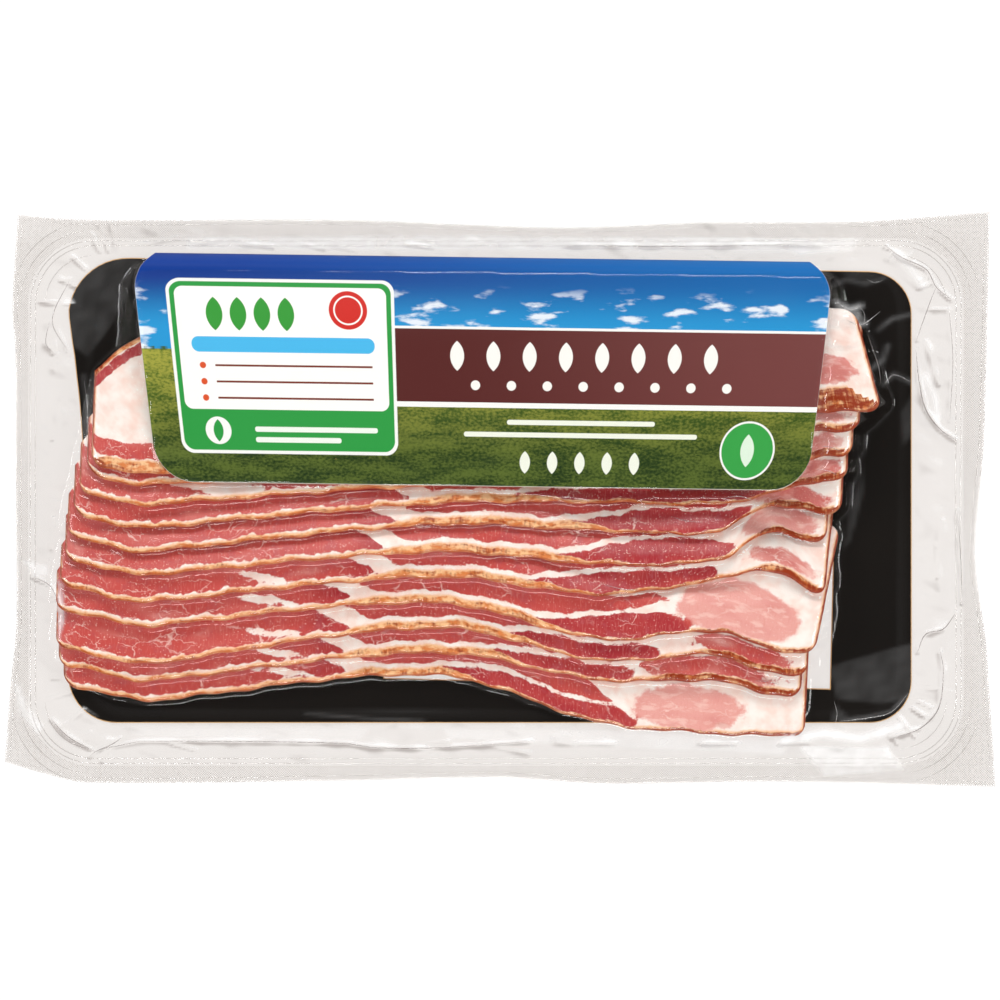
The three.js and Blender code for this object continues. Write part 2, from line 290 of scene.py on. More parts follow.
# edge: the lower edge at the stations. wedge: where the fat wedge meets that edge.
# rindEnd: right end of the thick rind. lobeEnd: right end of the dark lean.
# oval: the pale lean at the right end, as its x, its height over the edge and its two half sizes.
slices = [
    {"ends": (-135.2, 94.2), "widths": (39, 40), "edge": (-62.5, -54.7, -69.3, -72.7, -73.3, -73.3),
     "wedge": -46, "rindEnd": -7, "lobeEnd": 39.6, "oval": (58, 7.6, 17, 7.0), "ovalTone": 0.02,
     "lobeHeight": 5.6},
    {"ends": (-136.5, 92.9), "widths": (39, 39), "edge": (-56.3, -47.6, -56.0, -56.3, -60.0, -62.2),
     "wedge": -47, "rindEnd": 8, "lobeEnd": 39, "oval": (64, 4.6, 21, 3.4), "ovalTone": 0.36,
     "endRind": 1.3},
    {"ends": (-137.1, 94.8), "widths": (39, 39), "edge": (-51.0, -39.8, -49.8, -48.2, -53.5, -55.3),
     "wedge": -45, "rindEnd": 13, "lobeEnd": 46.8, "oval": (74, 4.2, 16, 3.2), "ovalTone": 0.38,
     "endRind": 1.3},
    {"ends": (-137.1, 96.7), "widths": (38, 40), "edge": (-39.2, -32.1, -43.2, -40.8, -46.0, -48.2),
     "wedge": -44, "rindEnd": 20, "lobeEnd": 56, "oval": (72, 8.8, 18, 8.4), "ovalTone": 0.0,
     "endLean": 0.22},
    {"ends": (-135.8, 99.8), "widths": (38, 38), "edge": (-31.8, -24.0, -29.3, -25.0, -21.9, -30.5),
     "wedge": -36, "rindEnd": 20, "lobeEnd": 65, "oval": (86, 5.4, 11, 2.4), "ovalTone": 0.15,
     "endRind": 1.7, "endLean": 0.12},
    {"ends": (-134.3, 100.4), "widths": (39, 37), "edge": (-23.4, -16.3, -20.0, -18.8, -10.7, -13.8),
     "wedge": -34, "rindEnd": 28, "lobeEnd": 70.3, "oval": (86, 4.8, 11, 4.4), "ovalTone": 0.1,
     "endRind": 0.9, "endLean": 0.1},
    {"ends": (-133.4, 105.3), "widths": (39, 37), "edge": (-16.3, -7.9, -9.8, -10.1, -2.3, -4.8),
     "wedge": -31, "rindEnd": 33, "lobeEnd": 75.3, "oval": (90, 3.9, 12, 3.2), "ovalTone": 0.22,
     "endRind": 1.4},
    {"ends": (-131.5, 106.9), "widths": (40, 36), "edge": (-9.1, -1.4, -1.1, -1.7, 1.4, 5.7),
     "wedge": -26, "rindEnd": 18, "lobeEnd": 80, "oval": (94, 4.4, 10, 3.2), "ovalTone": 0.2,
     "endRind": 1.5},
    {"ends": (-129.6, 108.4), "widths": (41, 36), "edge": (-2.0, 4.2, 4.8, 6.0, 9.8, 12.9),
     "wedge": -22, "rindEnd": 20, "lobeEnd": 84, "oval": (96, 4.6, 9, 2.8), "ovalTone": 0.16,
     "endRind": 1.5, "fatIsland": (-88, 5.4, 17, 3.4)},
    {"ends": (-127.2, 110.6), "widths": (42, 35), "edge": (4.2, 8.8, 9.8, 13.8, 18.4, 20.9),
     "wedge": -20, "rindEnd": 20, "lobeEnd": 86, "oval": (98, 5.0, 8, 2.0), "ovalTone": 0.16,
     "endRind": 1.3},
    {"ends": (-125.6, 117.7), "widths": (43.5, 32), "edge": (7.6, 13.8, 16.0, 21.5, 26.2, 26.8),
     "wedge": -20, "rindEnd": 20, "lobeEnd": 90, "oval": (100, 13.2, 13, 4.8), "ovalTone": 0.22,
     "endRind": 6.4, "endLean": -0.25, "leftLean": (4.2, 8.9), "leftRind": 3.3, "shoulder": (15, 14),
     "upperRind": (1.9, 5.6, -96)},  # its width, where the lean beside it ends, and how far right both go
]
for number, spec in enumerate(slices):
    spec["number"] = number
    spec["curve"] = curveThrough(list(zip(stations, spec["edge"])))
    for key, value in usualSlice.items():
        spec.setdefault(key, value)
for spec in slices:                  # the slice above covers it from there on
    spec["next"] = slices[min(spec["number"] + 1, len(slices) - 1)]


def cornerInset(fromSide, radius):   # how far a round corner draws the outline in
    short = np.clip(radius - fromSide, 0, radius)
    return radius - np.sqrt(radius**2 - short**2)


def sliceSpan(spec, x):              # lower limit, upper limit, thickness and distance to an end
    low = spec["curve"](x) + sliceCut["leftLift"] * ease((stations[0] - x) / sliceCut["liftRun"])
    phase = 2.4 * spec["number"]
    low = low + 0.3 * np.sin(x / 3.9 + phase) + 0.22 * np.sin(x / 1.7 - 2 * phase)
    fromEnd = np.minimum(x - spec["ends"][0], spec["ends"][1] - x)
    inset = cornerInset(fromEnd, sliceCut["endRadius"])
    run, drop = spec["shoulder"]
    shoulder = np.maximum(inset, drop * np.clip(1 - (x - spec["ends"][0]) / run, 0, 1) ** 1.3)
    share = (x - spec["ends"][0]) / (spec["ends"][1] - spec["ends"][0])
    width = spec["widths"][0] + (spec["widths"][1] - spec["widths"][0]) * share
    thick = sliceCut["thickness"] * (1 - sliceCut["endThinning"] * ease(1 - fromEnd / sliceCut["thinRun"]))
    return low + inset, low + width - shoulder, thick, fromEnd


def leanAt(spec, x, y):              # how far the right end leans over at a place
    above = np.clip(y - spec["curve"](x), 0, sliceCut["leanReach"])
    return spec["endLean"] * ease((x - 40) / 50) * above


def roundedEdge(distance):           # 0 at the cut edge, 1 past its rounding
    near = np.clip(1 - distance / sliceCut["edgeRadius"], 0, 1)
    return np.sqrt(1 - near**2)


boardTop = boardSize["lift"] + boardSize["thickness"]
level = np.full_like(gridX, boardTop)
tops = np.full_like(gridX, boardTop)
for spec in slices:
    lie = np.maximum(soften(drape(level, sliceCut["sagAlong"], sliceCut["sagAcross"]), 3), level)
    spec["lie"] = lie + sliceCut["gap"]
    upright = gridX
    for _ in range(3):
        upright = gridX - leanAt(spec, upright, gridY)
    low, high, thick, fromEnd = sliceSpan(spec, upright)
    within = (gridY >= low) & (gridY <= high) & (fromEnd > 0)
    distance = np.minimum(np.minimum(gridY - low, high - gridY), fromEnd)
    level = np.where(within, spec["lie"] + thick, level)
    top = spec["lie"] + thick * (1 + roundedEdge(distance)) / 2
    tops = np.where(within, np.maximum(top, tops), tops)
print("slices stacked, top at", round(float(tops.max()), 2), "mm of", round(cadTop, 2))


# What the eye sees on each slice, as smooth fields over it

sliceLook = {
    "rind": 0.7, "rindSwing": 0.3,   # least width of the browned rim, and how unevenly it widens
    "thickRind": 1.45,               # how much wider it is between the fat wedge and the dark lean
    "endWidths": (0.35, 0.6),        # its width at the left end and at the right end
    "leanTop": 14.0,                 # how far above the edge lean reaches
    # height of the dark lean over the edge, by the distance past the end of the thick rind
    "lobeRise": [(-14, 2.2), (-5, 3.7), (3, 5.4), (11, 7.4), (22, 9.0), (60, 9.4)],
    "stripGap": 1.7,                 # fat between the dark lean and the strip of lean above it
    "leftTone": (0.42, 0.33),        # how dark the lean is at the left, and how much darker by the wedge
    "stripTone": 0.5, "lobeTone": 0.8, "upperTone": 0.85,    # in the strip, the dark lean and the top strip
    "slantedIslands": 5,             # so many of the lowest slices have a thin island of fat
}


def sliceFields(spec, x, v, fromEnd, fromTop):   # v is the height above the lower edge
    look = sliceLook
    edge = np.minimum(v, fromEnd)
    wedge, rindEnd, lobeEnd = spec["wedge"], spec["rindEnd"], spec["lobeEnd"]
    ovalX, ovalV, ovalLength, ovalHeight = spec["oval"]
    thickRind = ease((x - wedge + 6) / 12) * ease((rindEnd + 3 - x) / 13)
    endRind = ease((x - ovalX + ovalLength - 2) / 7) * ease((v + 3) / 3)
    uneven = 0.5 + 0.5 * np.sin(x / 5.3 + 3 * np.sin(x / 17.0 + spec["number"]))
    leftPart = ease((wedge - x) / 12)
    rind = look["rind"] + look["rindSwing"] * uneven + look["thickRind"] * thickRind
    rind = rind + spec["endRind"] * endRind + (spec["leftRind"] - 0.6) * leftPart
    rind = np.where(v > fromEnd, np.where(x < 0, *look["endWidths"]), rind)
    tooth = np.maximum(np.sin(x / 0.6 + 2.5 * np.sin(x / 7.0 + spec["number"])), 0) ** 3
    leanLow, leanHigh = spec.get("leftLean", (None, look["leanTop"]))
    leanLow = rind + 0.4 + 0.6 * tooth + 0.6 * (1 - uneven) if leanLow is None else leanLow
    slant = 1.6 * (v - 1.5)
    leftLean = np.minimum(v - leanLow, leanHigh - v)
    leftLean = np.minimum(leftLean, 0.53 * (wedge - slant - x))
    leftLean = np.minimum(leftLean, fromEnd - 0.4)
    lobeTop = np.minimum(curveThrough(look["lobeRise"])(x - rindEnd), spec["lobeHeight"])
    if spec is not spec["next"]:
        room = spec["next"]["curve"](x) - spec["curve"](x) - 1.5 - 0.5 * np.sin(x / 9 + spec["number"])
        lobeTop = np.minimum(lobeTop, np.maximum(room, rind + 1.4))
    strip = np.maximum(lobeTop, rind + 0.1) + look["stripGap"] - 0.5 * ease((x - rindEnd - 5) / 15)
    middleLean = np.minimum(v - strip, 0.53 * (x - wedge - 9.5 + slant))
    middleLean = np.minimum(middleLean, 0.7 * (lobeEnd - 4 - 1.5 * np.maximum(v - strip, 0) - x))
    middleLean = np.minimum(middleLean, look["leanTop"] - v)
    lobe = np.minimum(v - rind - 0.1, lobeTop - v)
    lobe = np.minimum(lobe, 0.6 * (lobeEnd + 2 - 0.38 * (v - 2.2)**2 - x))
    lobe = np.minimum(lobe, 0.5 * (x - rindEnd + 13))
    reach = np.hypot((x - ovalX) / ovalLength, (v - ovalV) / ovalHeight)
    oval = np.minimum((1 - reach) * min(ovalLength, ovalHeight) * 0.8, v - rind - 0.1)
    bodies = [leftLean, middleLean, lobe, oval]
    leftTone = look["leftTone"][0] + look["leftTone"][1] * ease((x - wedge + 24) / 20)
    tones = [leftTone, look["stripTone"], look["lobeTone"], spec["ovalTone"]]
    if "upperRind" in spec:
        upperRind, upperLean, upperEnd = spec["upperRind"]
        upper = np.minimum(fromTop - upperRind, upperLean - fromTop)
        bodies.append(np.minimum(upper, 0.5 * (upperEnd - x)))
        tones.append(look["upperTone"])
        along = (fromTop < upperRind) & (x < upperEnd)
        rind, edge = np.where(along, upperRind, rind), np.where(along, fromTop, edge)
    bodies = np.stack([np.broadcast_to(body, v.shape) for body in bodies])
    tones = np.stack([np.broadcast_to(tone, v.shape) for tone in tones])
    first = bodies.argmax(0)[None]
    lean, tone = bodies.max(0), np.take_along_axis(tones, first, 0)[0]
    islands = [spec["fatIsland"]] if "fatIsland" in spec else []
    if spec["number"] < look["slantedIslands"]:
        islands.append((-67 - 1.5 * spec["number"], 4.2, 9, 1.1))
    for islandX, islandV, halfLength, halfHeight in islands:
        tilted = v - islandV + 0.25 * (x - islandX)
        apart = np.hypot((x - islandX) / halfLength, tilted / halfHeight)
        lean = np.minimum(lean, (apart - 1) * halfHeight)
    brown = 0.12 + 0.38 * thickRind + 0.5 * ease((x - rindEnd) / 12) + 0.28 * endRind
    brown = brown + 0.32 * leftPart + 0.4 * ease((spec["ends"][0] + 7 - x) / 6)
    return {"lean": lean, "tone": soften(tone, 1), "rim": rind - edge, "cutEdge": edge,
            "brown": np.clip(brown, 0, 1)}


sliceRows = np.concatenate([         # distances from the lower edge, close where they show
    [0, 0.1, 0.3, 0.6, 1.0, 1.45, 1.9], np.arange(2.5, 26.1, 0.7), np.linspace(28, 34.7, 5),
    [35.3, 35.75, 36.0]])


def columnPlaces(ends):
    near = np.array([0, 0.12, 0.45, 1.0, 1.8, 2.9, 4.3, 6.0, 7.6])
    count = round((ends[1] - ends[0] - 18) / 1.5)
    middle = np.linspace(ends[0] + 9, ends[1] - 9, count)
    return np.concatenate([ends[0] + near, middle, ends[1] - near[::-1]])


def makeSlice(spec, material):
    x = columnPlaces(spec["ends"])[:, None]
    low, high, thick, fromEnd = sliceSpan(spec, x)
    y = low + (high - low) * sliceRows / sliceRows[-1]
    x, thick, fromEnd = (np.broadcast_to(part, y.shape) for part in (x, thick, fromEnd))
    distance = np.minimum(np.minimum(y - low, high - y), fromEnd)
    fields = sliceFields(spec, x, y - low, fromEnd, high - y)
    fields["slicePlace"] = np.stack([x, y - low, np.full(y.shape, 31.0 * spec["number"])], -1)
    x = x + leanAt(spec, x, y)
    lie = heightAt(spec["lie"], x, y)
    relief = sliceCut["relief"] * (ease(0.5 - fields["lean"]) - 1)
    relief = relief + sliceCut["unevenness"] * ripples(x, y, (5.0, 9.0, 17.0), spec["number"])
    crown = roundedEdge(distance)
    top = lie + thick * (1 + crown) / 2 + relief * crown
    under = lie + thick * (1 - crown) / 2
    return closedPad(f"slice_{spec['number'] + 1:02d}", x, y, top, under, material, fields)


# Label flap

labelSize = {
    "left": -113.5, "right": 102.5, "lower": 3.9, "crease": 70.4, "radius": 12.0,
    "taper": 0.083, "tilt": -0.014, "creaseHeight": 7.0, "topHeight": 19.2, "bend": 1.6,
    "slope": 0.36,       # steepest rise of the flap
    "card": 0.45,        # how thick it is
    "foot": 75.0,        # where its spine meets the board
    "lift": 0.15,        # over the slices
    "headroom": 0.3,     # left under the CAD's top, for the film
    "carrySlope": 0.2, "holdSlope": 0.4,     # slopes of the card where it lies loose, and at its crease
    "shoulder": (0.06, 7.5, 12),     # how much its upper corners draw in, from where, and over what run
}


def labelRise(down):                 # height of the flap's upper face, down its length
    span = labelSize["topHeight"] - labelSize["creaseHeight"]
    return labelSize["creaseHeight"] + span * np.sin(labelSize["bend"] * down)


def labelShoulder(straight):         # how its two upper corners draw in
    share, start, run = labelSize["shoulder"]
    return share * np.clip((straight - labelSize["crease"] + start) / run, 0, 1) ** 2


def labelPlace():                    # y without the flap's tilt, and the share of the way down the flap
    straight = gridY - labelSize["tilt"] * gridX
    down = (labelSize["crease"] - straight) / (labelSize["crease"] - labelSize["lower"])
    return straight, np.clip(down, 0, 1)


def labelCover():                    # the flap's upper face on the table, or 0 beside it
    straight, down = labelPlace()
    middle = (labelSize["left"] + labelSize["right"]) / 2
    spread = middle + (gridX - middle) / (1 - labelSize["taper"] * down - labelShoulder(straight))
    flap = {"left": labelSize["left"], "right": labelSize["right"], "bottom": labelSize["lower"],
            "top": labelSize["crease"] + labelSize["radius"]}
    beside = (straight > labelSize["crease"]) | (outside(spread, straight, flap, labelSize["radius"]) > 0)
    return np.where(beside, 0, labelLevel)


def labelLevels():                   # the flap's upper face, as if it had no end
    under = tops + labelSize["card"] + labelSize["lift"]
    carried = soften(drape(under, labelSize["carrySlope"], labelSize["carrySlope"]), 12)
    held = soften(drape(under, labelSize["holdSlope"], labelSize["holdSlope"]), 6)
    down = labelPlace()[1]
    level = labelRise(down) + ease(down / 0.35) * np.maximum(carried - labelRise(down), 0)
    level = np.maximum(level, held * ease(down / 0.05))
    level = soften(drape(level, labelSize["slope"], labelSize["slope"]), 3)
    return np.minimum(level, cadTop - labelSize["headroom"])


labelLevel = labelLevels()


def makeLabel(material):
    left, right = labelSize["left"], labelSize["right"]
    middle, half = (left + right) / 2, (right - left) / 2
    near = np.array([0, 0.12, 0.5, 1.2, 2.3, 3.8, 5.6, 7.8, 10.0])
    across = np.concatenate([left + near, np.linspace(left + 12, right - 12, 120), right - near[::-1]])
    spine = np.array([-1, -0.97, -0.75, -0.5, -0.25])   # from the board's edge to the crease
    flap = np.concatenate([np.linspace(0, 0.97, 56), [0.985, 0.996, 1.0]])
    s, t = across[:, None], np.concatenate([spine, flap])[None, :]
    fromSide = np.minimum(s - left, right - s)
    length = labelSize["crease"] - labelSize["lower"]
    down = np.maximum(t, 0) * (1 - cornerInset(fromSide, labelSize["radius"]) / length)
    straight = labelSize["crease"] - length * down
    straight = straight + np.maximum(-t, 0) * (labelSize["foot"] - labelSize["crease"])
    x = middle + (s - middle) * (1 - labelSize["taper"] * down - labelShoulder(straight))
    y = straight + labelSize["tilt"] * x
    atCrease = heightAt(labelLevel, x, labelSize["crease"] + labelSize["tilt"] * x)
    spineRise = boardTop + (atCrease - boardTop) * np.sin((1 + t) * math.pi / 2)
    top = np.where(t < 0, spineRise, heightAt(labelLevel, x, np.minimum(y, labelSize["crease"])))
    rim = np.minimum(np.minimum(fromSide + 0 * t, (1 - t) * length), (1 + t) * 4.6)
    crown = np.clip(rim / 0.12, 0, 1)
    half = labelSize["card"] / 2
    under = top - half - half * crown
    top = top - half + half * crown
    fields = {"printPlace": np.stack([s + 0 * t - middle, -straight + labelSize["crease"], 0 * y], -1),
              "coreShows": 1 - crown}
    return closedPad("label_flap", x, y, top, under, material, fields)


# Film: a closed pouch, its upper web drawn over the contents, its lower web flat on the table

creases = [                          # folds in the loose film, each with its radius
    ([(-111.7, -74.9), (-83.8, -74.9), (-48, -75.5), (-39.7, -76.7), (-24.9, -77), (-6.3, -76.1),
      (9.2, -74.9)], 0.12),
    ([(-124.5, -77.6), (-120.5, -76.0), (-117.3, -73.9)], 0.12),
    ([(-127, -79.5), (-124.5, -77.6), (-118, -76.2), (-111.7, -74.9)], 0.10),
    ([(141.6, -3.6), (142.2, -14), (142.6, -22), (142.9, -32)], 0.12),
    ([(140.8, -35.2), (137, -40.1), (131.5, -41.7), (129, -47.3)], 0.15),
    ([(136.1, -47.3), (137, -52.9), (135.5, -64.6), (129.9, -70.8), (121.2, -73.9)], 0.15),
    ([(128.6, 46.3), (129.5, 37), (131.7, 27.7), (136.3, 21.5), (141, 18.4)], 0.16),
    ([(119.3, 78.3), (123.9, 74.9), (131.7, 71.1), (134.8, 65.6), (139.4, 61.8)], 0.12),
    ([(134.8, 65.6), (133.2, 61.8), (128.8, 49.4)], 0.11),
    ([(138.8, 58.7), (140, 43.2), (139.1, 24.6)], 0.10),
    ([(-133.2, 68), (-138.6, 55.3), (-134, 46)], 0.10),
    ([(-139.5, 55), (-140.6, 48), (-137.2, 44.5)], 0.09),
    ([(-144.5, -24), (-139.5, -26.5), (-136.5, -31)], 0.11),
    ([(20, 78.5), (58, 78.2), (92, 78.9)], 0.09),
    ([(-139, -68), (-133.5, -73.5), (-125.4, -78)], 0.11),
]

crinkles = [                         # sharp folds over the black board and the meat, drawn with a painted white glint
    ([(104.7, 60.6), (108.2, 58.6), (111.4, 59.7)], 0.15),
    ([(106.9, 55.4), (110.2, 53.9), (112.6, 54.3), (117.7, 58.2)], 0.14),
    ([(111.4, 59.7), (112.9, 57.2), (112.6, 54.3)], 0.08),
    ([(113.9, 50.5), (115.2, 46.6), (117.0, 41.2), (117.6, 35.8)], 0.09),
    ([(119.2, 36.1), (122, 38.6), (127, 36.4)], 0.07),
    ([(113.5, 68.3), (116.0, 67.1), (118.5, 67.9)], 0.06),
    ([(104.8, -68.7), (113, -67.8), (121, -65.8), (126.2, -60)], 0.1),
    ([(103.4, -62.5), (104.3, -66.2), (103.8, -69)], 0.08),
    ([(-128.9, 37), (-127.4, 25), (-127.9, 13)], 0.07),
    ([(97.3, 9.1), (100.5, 8.9), (103.5, 7.6)], 0.12),
    ([(69, 0.4), (73, 1.0), (77.4, -0.2)], 0.12),
    ([(52.3, -5.2), (57, -6.6), (61.9, -7.0)], 0.08),
    ([(31.9, -26.2), (38, -27.6), (44.6, -27.9)], 0.1),
    ([(78.4, -56.0), (82, -56.2), (86.1, -57.1)], 0.09),
    ([(98.5, 16.3), (101.5, 16.1), (104.6, 14.9)], 0.1),
]


wrinkleSize = {
    "seed": 12, "fan": 7,            # the last is how many lie round a corner
    "acrossSides": 16, "acrossEnds": 12,     # how many lie beside the board
    "width": 0.75, "creaseWidth": 0.8, "creaseRise": 3.0,    # the last is a share of the crease's radius
    "swell": 0.35, "stripWidth": 17,     # waves of the clear strip beside the board
    "light": (0.5, 0.85), "fullSlope": 0.3,      # where the painted light falls from, and the slope that gets the full painted shade
}


def wrinkleLines():                  # short tension wrinkles, fanned round each corner and along the sides
    rng = np.random.default_rng(wrinkleSize["seed"])
    lines = []
    reach = boardSize["radius"]
    middle = (boardSize["bottom"] + boardSize["top"]) / 2
    for sx in (-1, 1):
        for sy in (-1, 1):
            cx = (boardSize["right"] if sx > 0 else boardSize["left"]) - sx * reach
            cy = middle + sy * ((boardSize["top"] - boardSize["bottom"]) / 2 - reach)
            for turn in np.linspace(6, 84, wrinkleSize["fan"]):
                angle = math.radians(turn + rng.uniform(-8, 8))
                near, far = reach + rng.uniform(1, 6), reach + rng.uniform(7, 13)
                c, d = sx * math.cos(angle), sy * math.sin(angle)
                start, end = ((cx + run * c, cy + run * d) for run in (near, far))
                lines.append((start, end, rng.uniform(0.12, 0.36)))
    for _ in range(wrinkleSize["acrossSides"]):
        x, side = rng.uniform(-112, 112), rng.choice([boardSize["bottom"] - 6, boardSize["top"] + 5])
        length, lean = rng.uniform(6, 16), rng.uniform(-0.25, 0.25)
        lines.append(((x, side), (x + length, side + lean * length), rng.uniform(0.12, 0.34)))
    for _ in range(wrinkleSize["acrossEnds"]):
        y, side = rng.uniform(-50, 50), rng.choice([boardSize["left"] - 8, boardSize["right"] + 8])
        length, lean = rng.uniform(6, 14), rng.uniform(-0.3, 0.3)
        lines.append(((side, y), (side + lean * length, y + length), rng.uniform(0.12, 0.34)))
    return lines


def nearLine(x, y, knots):           # distance to a line through the knots
    nearest = np.full(x.shape, 1e3)
    for (x0, y0), (x1, y1) in zip(knots[:-1], knots[1:]):
        length = math.hypot(x1 - x0, y1 - y0)
        along = np.clip(((x - x0) * (x1 - x0) + (y - y0) * (y1 - y0)) / length**2, 0, 1)
        nearest = np.minimum(nearest, np.hypot(x - x0 - along * (x1 - x0), y - y0 - along * (y1 - y0)))
    return nearest


def raised(heights, start, end, rise, width):      # adds a ridge from start to end
    (x0, y0), (x1, y1) = start, end
    reach = 3 * width
    i0, i1 = np.searchsorted(tableX, [min(x0, x1) - reach, max(x0, x1) + reach])
    j0, j1 = np.searchsorted(tableY, [min(y0, y1) - reach, max(y0, y1) + reach])
    off = nearLine(gridX[i0:i1, j0:j1], gridY[i0:i1, j0:j1], [start, end])
    ridge = rise * np.exp(-(off / width) ** 2)
    heights[i0:i1, j0:j1] = np.maximum(heights[i0:i1, j0:j1], ridge)


def wrinkleHeights():
    wrinkles = np.zeros_like(gridX)
    for start, end, rise in wrinkleLines():
        raised(wrinkles, start, end, rise, wrinkleSize["width"])
    for knots, radius in creases:
        for start, end in zip(knots[:-1], knots[1:]):
            raised(wrinkles, start, end, wrinkleSize["creaseRise"] * radius, wrinkleSize["creaseWidth"])
    off = outside(gridX, gridY, boardSize, boardSize["radius"])
    strip = ease(off / 3 + 0.4) * ease((wrinkleSize["stripWidth"] - off) / 8)
    swell = wrinkleSize["swell"] * ripples(gridX, gridY, (8.0, 11.0, 16.0, 23.0), 5)
    return wrinkles * ease(off / 2) + strip * swell


def filmHeights():
    contents = np.maximum(tops, labelCover())
    over = drape(contents + filmSize["clearance"], filmSize["slope"], filmSize["slope"])
    over = np.maximum(soften(over, 2), contents + filmSize["clearance"] / 2)
    off = outside(gridX, gridY, boardSize, boardSize["radius"])
    seal = ease((outside(gridX, gridY, sealSize, sealSize["radius"]) + 0.6) / 0.8)
    sheet = flangeLevel(gridX, gridY) + filmSize["webGap"] + wrinkles + filmSize["sealStep"] * seal
    sheet = sheet * ease(off / filmSize["fade"] + 1)
    return np.minimum(np.maximum(sheet, over), cadTop - filmSize["headroom"])


sealSize = {
    "left": -145.4, "right": 142.5, "bottom": -81.7, "top": 80.0, "radius": 20.0,
    "pitch": 0.74, "dotWidth": 0.46, "dotHeight": 0.14, "sizeSpread": 0.25, "seed": 7,   # the knurl
    "margin": 0.5, "start": 0.8,     # how far it stays from the cut edge and from the seal's inner line
    "lineRadius": 0.16, "arcRadius": 0.128,   # of the pressed lines, and of those round the corners
}
wrinkles = wrinkleHeights()
filmTop = filmHeights()
slopeX, slopeY = np.gradient(wrinkles, fine["stepX"], fine["stepY"])
turned = wrinkleSize["light"][0] * slopeX + wrinkleSize["light"][1] * slopeY
foldLightShadeTable = np.clip(turned / wrinkleSize["fullSlope"], -1, 1)      # painted fold shading: 1 where a fold turns from the light and gets painted shade, -1 where it faces it and gets a painted highlight


glarePatches = [                            # painted glare: patches where white is painted into the film as reflected light, over the black board
    ([(-150, 90), (-111.5, 74), (-115.5, 62), (-121, 53), (-127.8, 44.0), (-136, 50)], 1.4),
    ([(101.5, -51.6), (130, -43.6), (130, -61), (118, -63.5), (104.4, -62.2)], 1.3),
    ([(103.6, 61.6), (106.6, 59.6), (110.6, 59.3), (112.6, 55.8), (107, 52.6), (101, 53)], 7),
    ([(111.8, 9.5), (113.0, 4), (109.0, -12), (106.5, -16), (107.6, -6)], 1.3),
    ([(104, 72), (110, 66), (118, 69.5), (113, 71.5)], 0.8),
    ([(124, 27), (127.5, 33), (127.5, 20), (124.5, 16)], 1.3),
    ([(104, -63.5), (109, -68.5), (102, -68.8)], 1.6),
    ([(-118, -70.6), (-40, -70.6), (-44, -75), (-112, -73.5)], 7),      # from here on over the clear strip
    ([(-18, -71), (40, -71.2), (90, -74), (88, -79), (30, -76.5), (-16, -74)], 9),
    ([(-98, 81.6), (-20, 82.2), (112, 81.2), (109, 76.4), (10, 76.8), (-97, 77.2)], 13),
    ([(92, -76), (120, -76.5), (126, -84), (100, -86)], 18),
    ([(-149, -18), (-140, -20.5), (-139.5, -24), (-144, -23.5)], 26),
    ([(-137.5, -24), (-134.5, -26), (-134.2, -38), (-136.5, -46)], 18),
    ([(-151, -56), (-148.5, -58), (-146, -64), (-141, -70), (-143, -73), (-149, -66)], 22),
    ([(86, 78.8), (103, 80), (106, 76.5), (92, 75.5)], 16),
]
glareStreaks = [                          # painted glare: bright lines of painted reflection in the film
    ([(103, 66), (107, 68.2), (113, 66.8), (119, 68.6)], 0.8, 1.8),
    ([(104, 60.8), (108, 58.8), (111.4, 59.9)], 0.9, 14),
    ([(106, 55.0), (110, 53.8), (113, 54.6)], 0.8, 12),
    ([(102.5, 47.4), (106, 46.8), (110, 47.8)], 0.7, 7),
    ([(117, 52.5), (121.5, 56), (127.5, 57.3)], 0.7, 2.8),
    ([(118.5, 35.5), (122, 38.8), (127.3, 36.2)], 0.7, 2.6),
    ([(115, 40.5), (118.6, 43.2), (120, 47.5)], 0.8, 3.0),
    ([(-129, 38), (-127.2, 24), (-127.8, 12)], 0.8, 1.8),
    ([(-125.5, 37), (-124.3, 28), (-125, 20)], 0.6, 1.5),
    ([(-131, 56), (-128.6, 58.4), (-127.5, 62)], 0.6, 1.3),
    ([(105, -68.4), (113, -67.6), (121, -65.6), (126.5, -60)], 0.6, 3.0),
    ([(-60, -66.4), (-38, -68.0), (-24, -68.4)], 0.5, 1.6),
    ([(88, -74.5), (100, -72.5), (112, -74), (124, -70)], 1.4, 28),
    ([(131.7, 38.6), (134.8, 31), (135.5, 25)], 0.9, 22),
    ([(122, 76), (127, 72), (131, 66)], 1.2, 16),
]


def drawPaintedGlare():                      # how much painted glare whitens the film over what is under it, for each place
    paintedGlare = np.zeros_like(gridX)
    for corners, share in glarePatches:
        closed = corners + corners[:1]
        inside = np.zeros(gridX.shape, bool)
        for (x0, y0), (x1, y1) in zip(closed[:-1], closed[1:]):
            if y0 != y1:
                crossing = x0 + (gridY - y0) * (x1 - x0) / (y1 - y0)
                inside ^= ((y0 > gridY) != (y1 > gridY)) & (gridX < crossing)
        off = nearLine(gridX, gridY, closed) * np.where(inside, 1, -1)
        paintedGlare = np.maximum(paintedGlare, share * ease(off / 1.2 + 0.3))
    for knots, width, share in glareStreaks:
        paintedGlare = np.maximum(paintedGlare, share * np.exp(-(nearLine(gridX, gridY, knots) / width) ** 2))
    uneven = 0.8 + 0.3 * ripples(gridX, gridY, (5.0, 9.0, 14.0), 9)
    return paintedGlare * uneven


paintedGlareTable = drawPaintedGlare()


def spacedPlaces(half, strip, step, innerStep):    # closer places in the strip at each side
    outer = np.linspace(-half, strip - half, round(strip / step), endpoint=False)
    inner = np.linspace(strip - half, half - strip, round(2 * (half - strip) / innerStep))
    return np.concatenate([outer, inner, -outer[::-1]])


